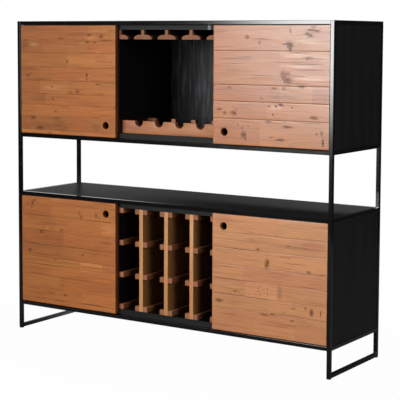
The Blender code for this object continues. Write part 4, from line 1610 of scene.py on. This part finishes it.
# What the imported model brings


class Finish(Enum):
    """A finish of nodes that are kept, with how the names of the nodes that get it start."""

    POWDER = ("side_frame", "front_rail", "rear_rail")
    PLASTIC = ("glide_",)
    ZINC = ("ball_catch", "header_clip")
    LENGTHWISE = ("top_deck", "counter_board", "lower_shelf", "upper_ceiling", "lower_ceiling",
                  "upper_floor", "lower_floor")
    UPRIGHT = ("upper_side", "upper_partition", "lower_side", "lower_partition")
    BACK = ("upper_back", "lower_back")

    @classmethod
    def of(cls, name: str) -> "Finish | None":
        """Return the finish of a node, or nothing where a piece made here stands for it."""
        return next((finish for finish in cls if name.startswith(finish.value)), None)


@dataclass
class Carcass:
    """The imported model's own nodes that keep their shapes: frame, boards, glides, catches and clip."""

    nodes: dict[str, bpy.types.Object]

    def build(self) -> list[bpy.types.Object]:
        """Dress every node that is kept.

        Returns:
            The dressed nodes.
        """
        materials = {
            Finish.POWDER: PowderCoat().material(),
            Finish.PLASTIC: MouldedPlastic().material(),
            Finish.ZINC: ZincPlate().material(),
            Finish.LENGTHWISE: StainedBoard("black_board_lengthwise", Grain.X).material(),
            Finish.UPRIGHT: StainedBoard("black_board_upright", Grain.Z).material(),
            Finish.BACK: StainedBoard(
                "black_back_board", Grain.Z, colour=(25, 25, 27), streak=(94, 95, 102), broad=0.15,
                lines=120.0, relief=0.3 * MM,
            ).material(),
        }
        dressed = []
        for name, node in sorted(self.nodes.items()):
            finish = Finish.of(name)
            if finish is None:
                continue
            if not node.material_slots:
                node.data.materials.append(materials[finish])
            for slot in node.material_slots:
                slot.material = materials[finish]
            dressed.append(node)
        return dressed


# Studio


@dataclass(frozen=True)
class Softbox:
    """A rectangular lamp: where it stands, what it points at, its width and height, and its level."""

    name: str
    at: tuple[float, float, float]
    aim: tuple[float, float, float]
    size: tuple[float, float]
    level: float

    def build(self) -> None:
        """Hang the lamp, whose power is level * pi * area, so that its face shines at that level."""
        lamp = bpy.data.lights.new(self.name, "AREA")
        lamp.shape = "RECTANGLE"
        lamp.size, lamp.size_y = self.size
        lamp.energy = self.level * np.pi * self.size[0] * self.size[1]
        light = bpy.data.objects.new(self.name, lamp)
        bpy.context.scene.collection.objects.link(light)
        light.location = self.at
        light.rotation_euler = (Vector(self.aim) - Vector(self.at)).to_track_quat("-Z", "Y").to_euler()


@dataclass
class Studio:
    """A pale floor, white surroundings, a dim room and softboxes, the main one far out at the front left.

    Behind is the direction on the floor in which gloss sees white, from strip start on and no wider than
    strip side. Sweep is that direction in the surroundings, inside sweep edge and up to sweep top. Each such
    pair is where a change starts and where it ends. The camera sees floor white as the floor's share of
    white near the cabinet, which leaves a soft shadow, and all white beyond shadow reach.
    """

    main_at: tuple[float, float, float] = (-3.02, -11.1, 3.18)
    main_size: tuple[float, float] = (5.84, 5.76)
    main_level: float = 2.8
    main_steps: tuple[float, ...] = (0.89, 1.0, 1.11)
    main_apart: float = 20 * MM
    main_aim: tuple[float, float, float] = (0.3, -0.1, 0.9)
    middle: tuple[float, float, float] = (0.0, 0.0, 0.8)
    room: float = 0.025
    overhead: float = 0.14
    behind: tuple[float, float, float] = (-0.548, 0.833, 0.0)
    sweep: tuple[float, float, float] = (-0.819, 0.574, 0.0)
    sweep_edge: tuple[float, float] = (0.927, 0.948)
    sweep_top: tuple[float, float] = (0.10, 0.26)
    overhead_rise: tuple[float, float] = (0.15, 0.9)
    floor_radius: float = 3.6
    floor_sides: int = 96
    floor_colour: Rgb = (122, 122, 122)
    floor_white: float = 0.985
    shadow_shape: tuple[float, float, float] = (1.0, 1.6, 0.0)
    shadow_reach: tuple[float, float] = (0.9, 2.0)
    strip_start: tuple[float, float] = (0.2, 0.9)
    strip_side: tuple[float, float] = (0.8, 2.2)

    def build(self) -> None:
        """Set up the world, the floor and the light."""
        self.surroundings()
        self.floor()
        for lamp in self.lamps():
            lamp.build()
        bpy.context.scene.view_settings.view_transform = "Standard"

    def lamps(self) -> list[Softbox]:
        """Lay out the lamps.

        Returns:
            The main softbox, as three sizes within each other so that its light fades at its edges, with a
            brighter core, and small lamps before, beside and behind the cabinet.
        """
        main = []
        x, y, z = self.main_at
        for number, step in enumerate(self.main_steps, 1):
            at = (x, y - self.main_apart * number, z)
            size = (self.main_size[0] * step, self.main_size[1] * step)
            main.append(Softbox(f"main_{number}", at, self.main_aim, size, self.main_level))
        return main + [
            Softbox("main_core", (-4.3, -11.2, 1.9), self.main_aim, (2.4, 2.4), 2.0),
            Softbox("front", (0.1, -5.2, 1.3), self.middle, (1.2, 1.2), 2.7),
            Softbox("side", (5.2, -3.0, 2.4), self.middle, (1.3, 1.3), 8.0),
            Softbox("flank", (5.5, 0.9, 2.2), self.middle, (1.3, 1.3), 14.0),
            Softbox("rear", (-0.8, 3.2, 4.6), self.middle, (2.0, 2.0), 6.0),
        ]

    def seen(self, graph: Graph) -> tuple[Signal, Signal]:
        """Return whether a ray comes from the camera, and whether from gloss or glass."""
        camera = graph.node("ShaderNodeLightPath", out="Is Camera Ray")
        glossy = graph.node("ShaderNodeLightPath", out="Is Glossy Ray")
        through = graph.node("ShaderNodeLightPath", out="Is Transmission Ray")
        return camera, glossy + through

    def surroundings(self) -> None:
        """Make the world: white behind the cabinet, dim beside and before it, softly bright overhead."""
        world = bpy.data.worlds.new("studio")
        world.use_nodes = True
        bpy.context.scene.world = world
        graph = Graph(world.node_tree)
        direction = graph.node("ShaderNodeTexCoord", out="Generated")
        height = direction.along((0.0, 0.0, 1.0))
        behind = direction.along(self.sweep).rises(*self.sweep_edge) * height.falls(*self.sweep_top)
        camera, gloss = self.seen(graph)
        level = self.room + height.rises(*self.overhead_rise) * self.overhead
        dim = graph.node("ShaderNodeBackground", {}, {"Color": (1.0, 1.0, 1.0), "Strength": level})
        white = graph.node("ShaderNodeBackground", {}, {"Color": (1.0, 1.0, 1.0), "Strength": 1.0})
        share = (camera + gloss * behind).smaller(1.0)
        graph.node_output(graph.node("ShaderNodeMixShader", {}, {0: share, 1: dim, 2: white}),
                          "ShaderNodeOutputWorld")

    def floor(self) -> None:
        """Make the floor: a disc that keeps a soft shadow near the cabinet and is white farther out."""
        disc = round_hole((0.0, 0.0), self.floor_radius, self.floor_sides)
        points = np.hstack([disc, np.zeros((self.floor_sides, 1))])
        mesh = bpy.data.meshes.new("floor")
        mesh.from_pydata(points.tolist(), [], [list(range(self.floor_sides))])
        plane = bpy.data.objects.new("floor", mesh)
        bpy.context.scene.collection.objects.link(plane)
        graph = Graph.of_material("pale_floor")
        camera, gloss = self.seen(graph)
        place = graph.place()
        far = (place * self.shadow_shape).size().rises(*self.shadow_reach)
        across = place.along((self.behind[1], -self.behind[0], 0.0))
        strip = place.along(self.behind).rises(*self.strip_start)
        strip = strip * (across * across).falls(*self.strip_side)
        white_share = self.floor_white + far * (1.0 - self.floor_white)
        share = (camera + gloss * strip).smaller(1.0) * white_share
        matt = graph.node("ShaderNodeBsdfDiffuse", {}, {"Color": linear(self.floor_colour)})
        white = graph.node("ShaderNodeEmission", {}, {"Color": (1.0, 1.0, 1.0), "Strength": 1.0})
        graph.node_output(graph.node("ShaderNodeMixShader", {}, {0: share, 1: matt, 2: white}))
        mesh.materials.append(graph.material)


@dataclass
class PhotoCamera:
    """The photograph's viewpoint, solved from the frame's corners and the edges of boards and doors."""

    at: tuple[float, float, float] = (3.05543, -4.57531, 1.33311)
    right: tuple[float, float, float] = (0.83516718, 0.54997745, 0.00453706)
    up: tuple[float, float, float] = (-0.04814568, 0.06488897, 0.99673036)
    forward: tuple[float, float, float] = (-0.54788482, 0.83265492, -0.08067218)
    lens: float = 114.578
    sensor: float = 36.0
    shift: float = -0.15

    def build(self) -> None:
        """Make the camera the scene's own."""
        camera = bpy.data.cameras.new("camera")
        camera.lens, camera.sensor_width, camera.shift_y = self.lens, self.sensor, self.shift
        holder = bpy.data.objects.new("camera", camera)
        bpy.context.scene.collection.objects.link(holder)
        turn = Matrix((self.right, self.up, -Vector(self.forward))).transposed().to_4x4()
        holder.matrix_world = Matrix.Translation(self.at) @ turn
        bpy.context.scene.camera = holder


def report(title: str, pieces: Sequence[bpy.types.Object]) -> None:
    """Log each piece of a sub-assembly with its number of faces."""
    for piece in pieces:
        LOG.info("%s: %s, %d faces", title, piece.name, len(piece.data.polygons))


def main() -> None:
    """Build the scene."""
    logging.basicConfig(level=logging.INFO, format="%(message)s")
    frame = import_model()
    PhotoCamera().build()
    Studio().build()
    rest_pine = Pine("rack_pine_x", Grain.X, early=(198, 132, 84), red=(188, 114, 74)).material()
    # The cleats, the stemware rails and the uprights get painted shade on their sides deep in the bays.
    cleat_pine = Pine("rack_pine_y", Grain.Y, flank=0.85, lengthwise_shade=0.6).material()
    rail_pine = Pine(
        "glass_rail_pine", Grain.Y, late=(146, 84, 50), end=(136, 78, 52), flank=0.85, lengthwise_shade=0.92,
        inside=(-192 * MM, -168 * MM),
    ).material()
    upright_pine = Pine(
        "rack_pine_z", Grain.Z, early=(228, 168, 102), red=(218, 150, 90), late=(178, 114, 66), flank=0.8
    ).material()
    report("frame and boards", Carcass(frame["nodes"]).build())
    report("stemware rails", StemwareRails(rail_pine).build())
    report("bottle rests", BottleRests(rest_pine).build())
    report("bottle rack", BottleRack(upright_pine, cleat_pine).build())
    report("doors", Doors().build())
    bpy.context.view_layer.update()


if __name__ == "__main__":
    main()
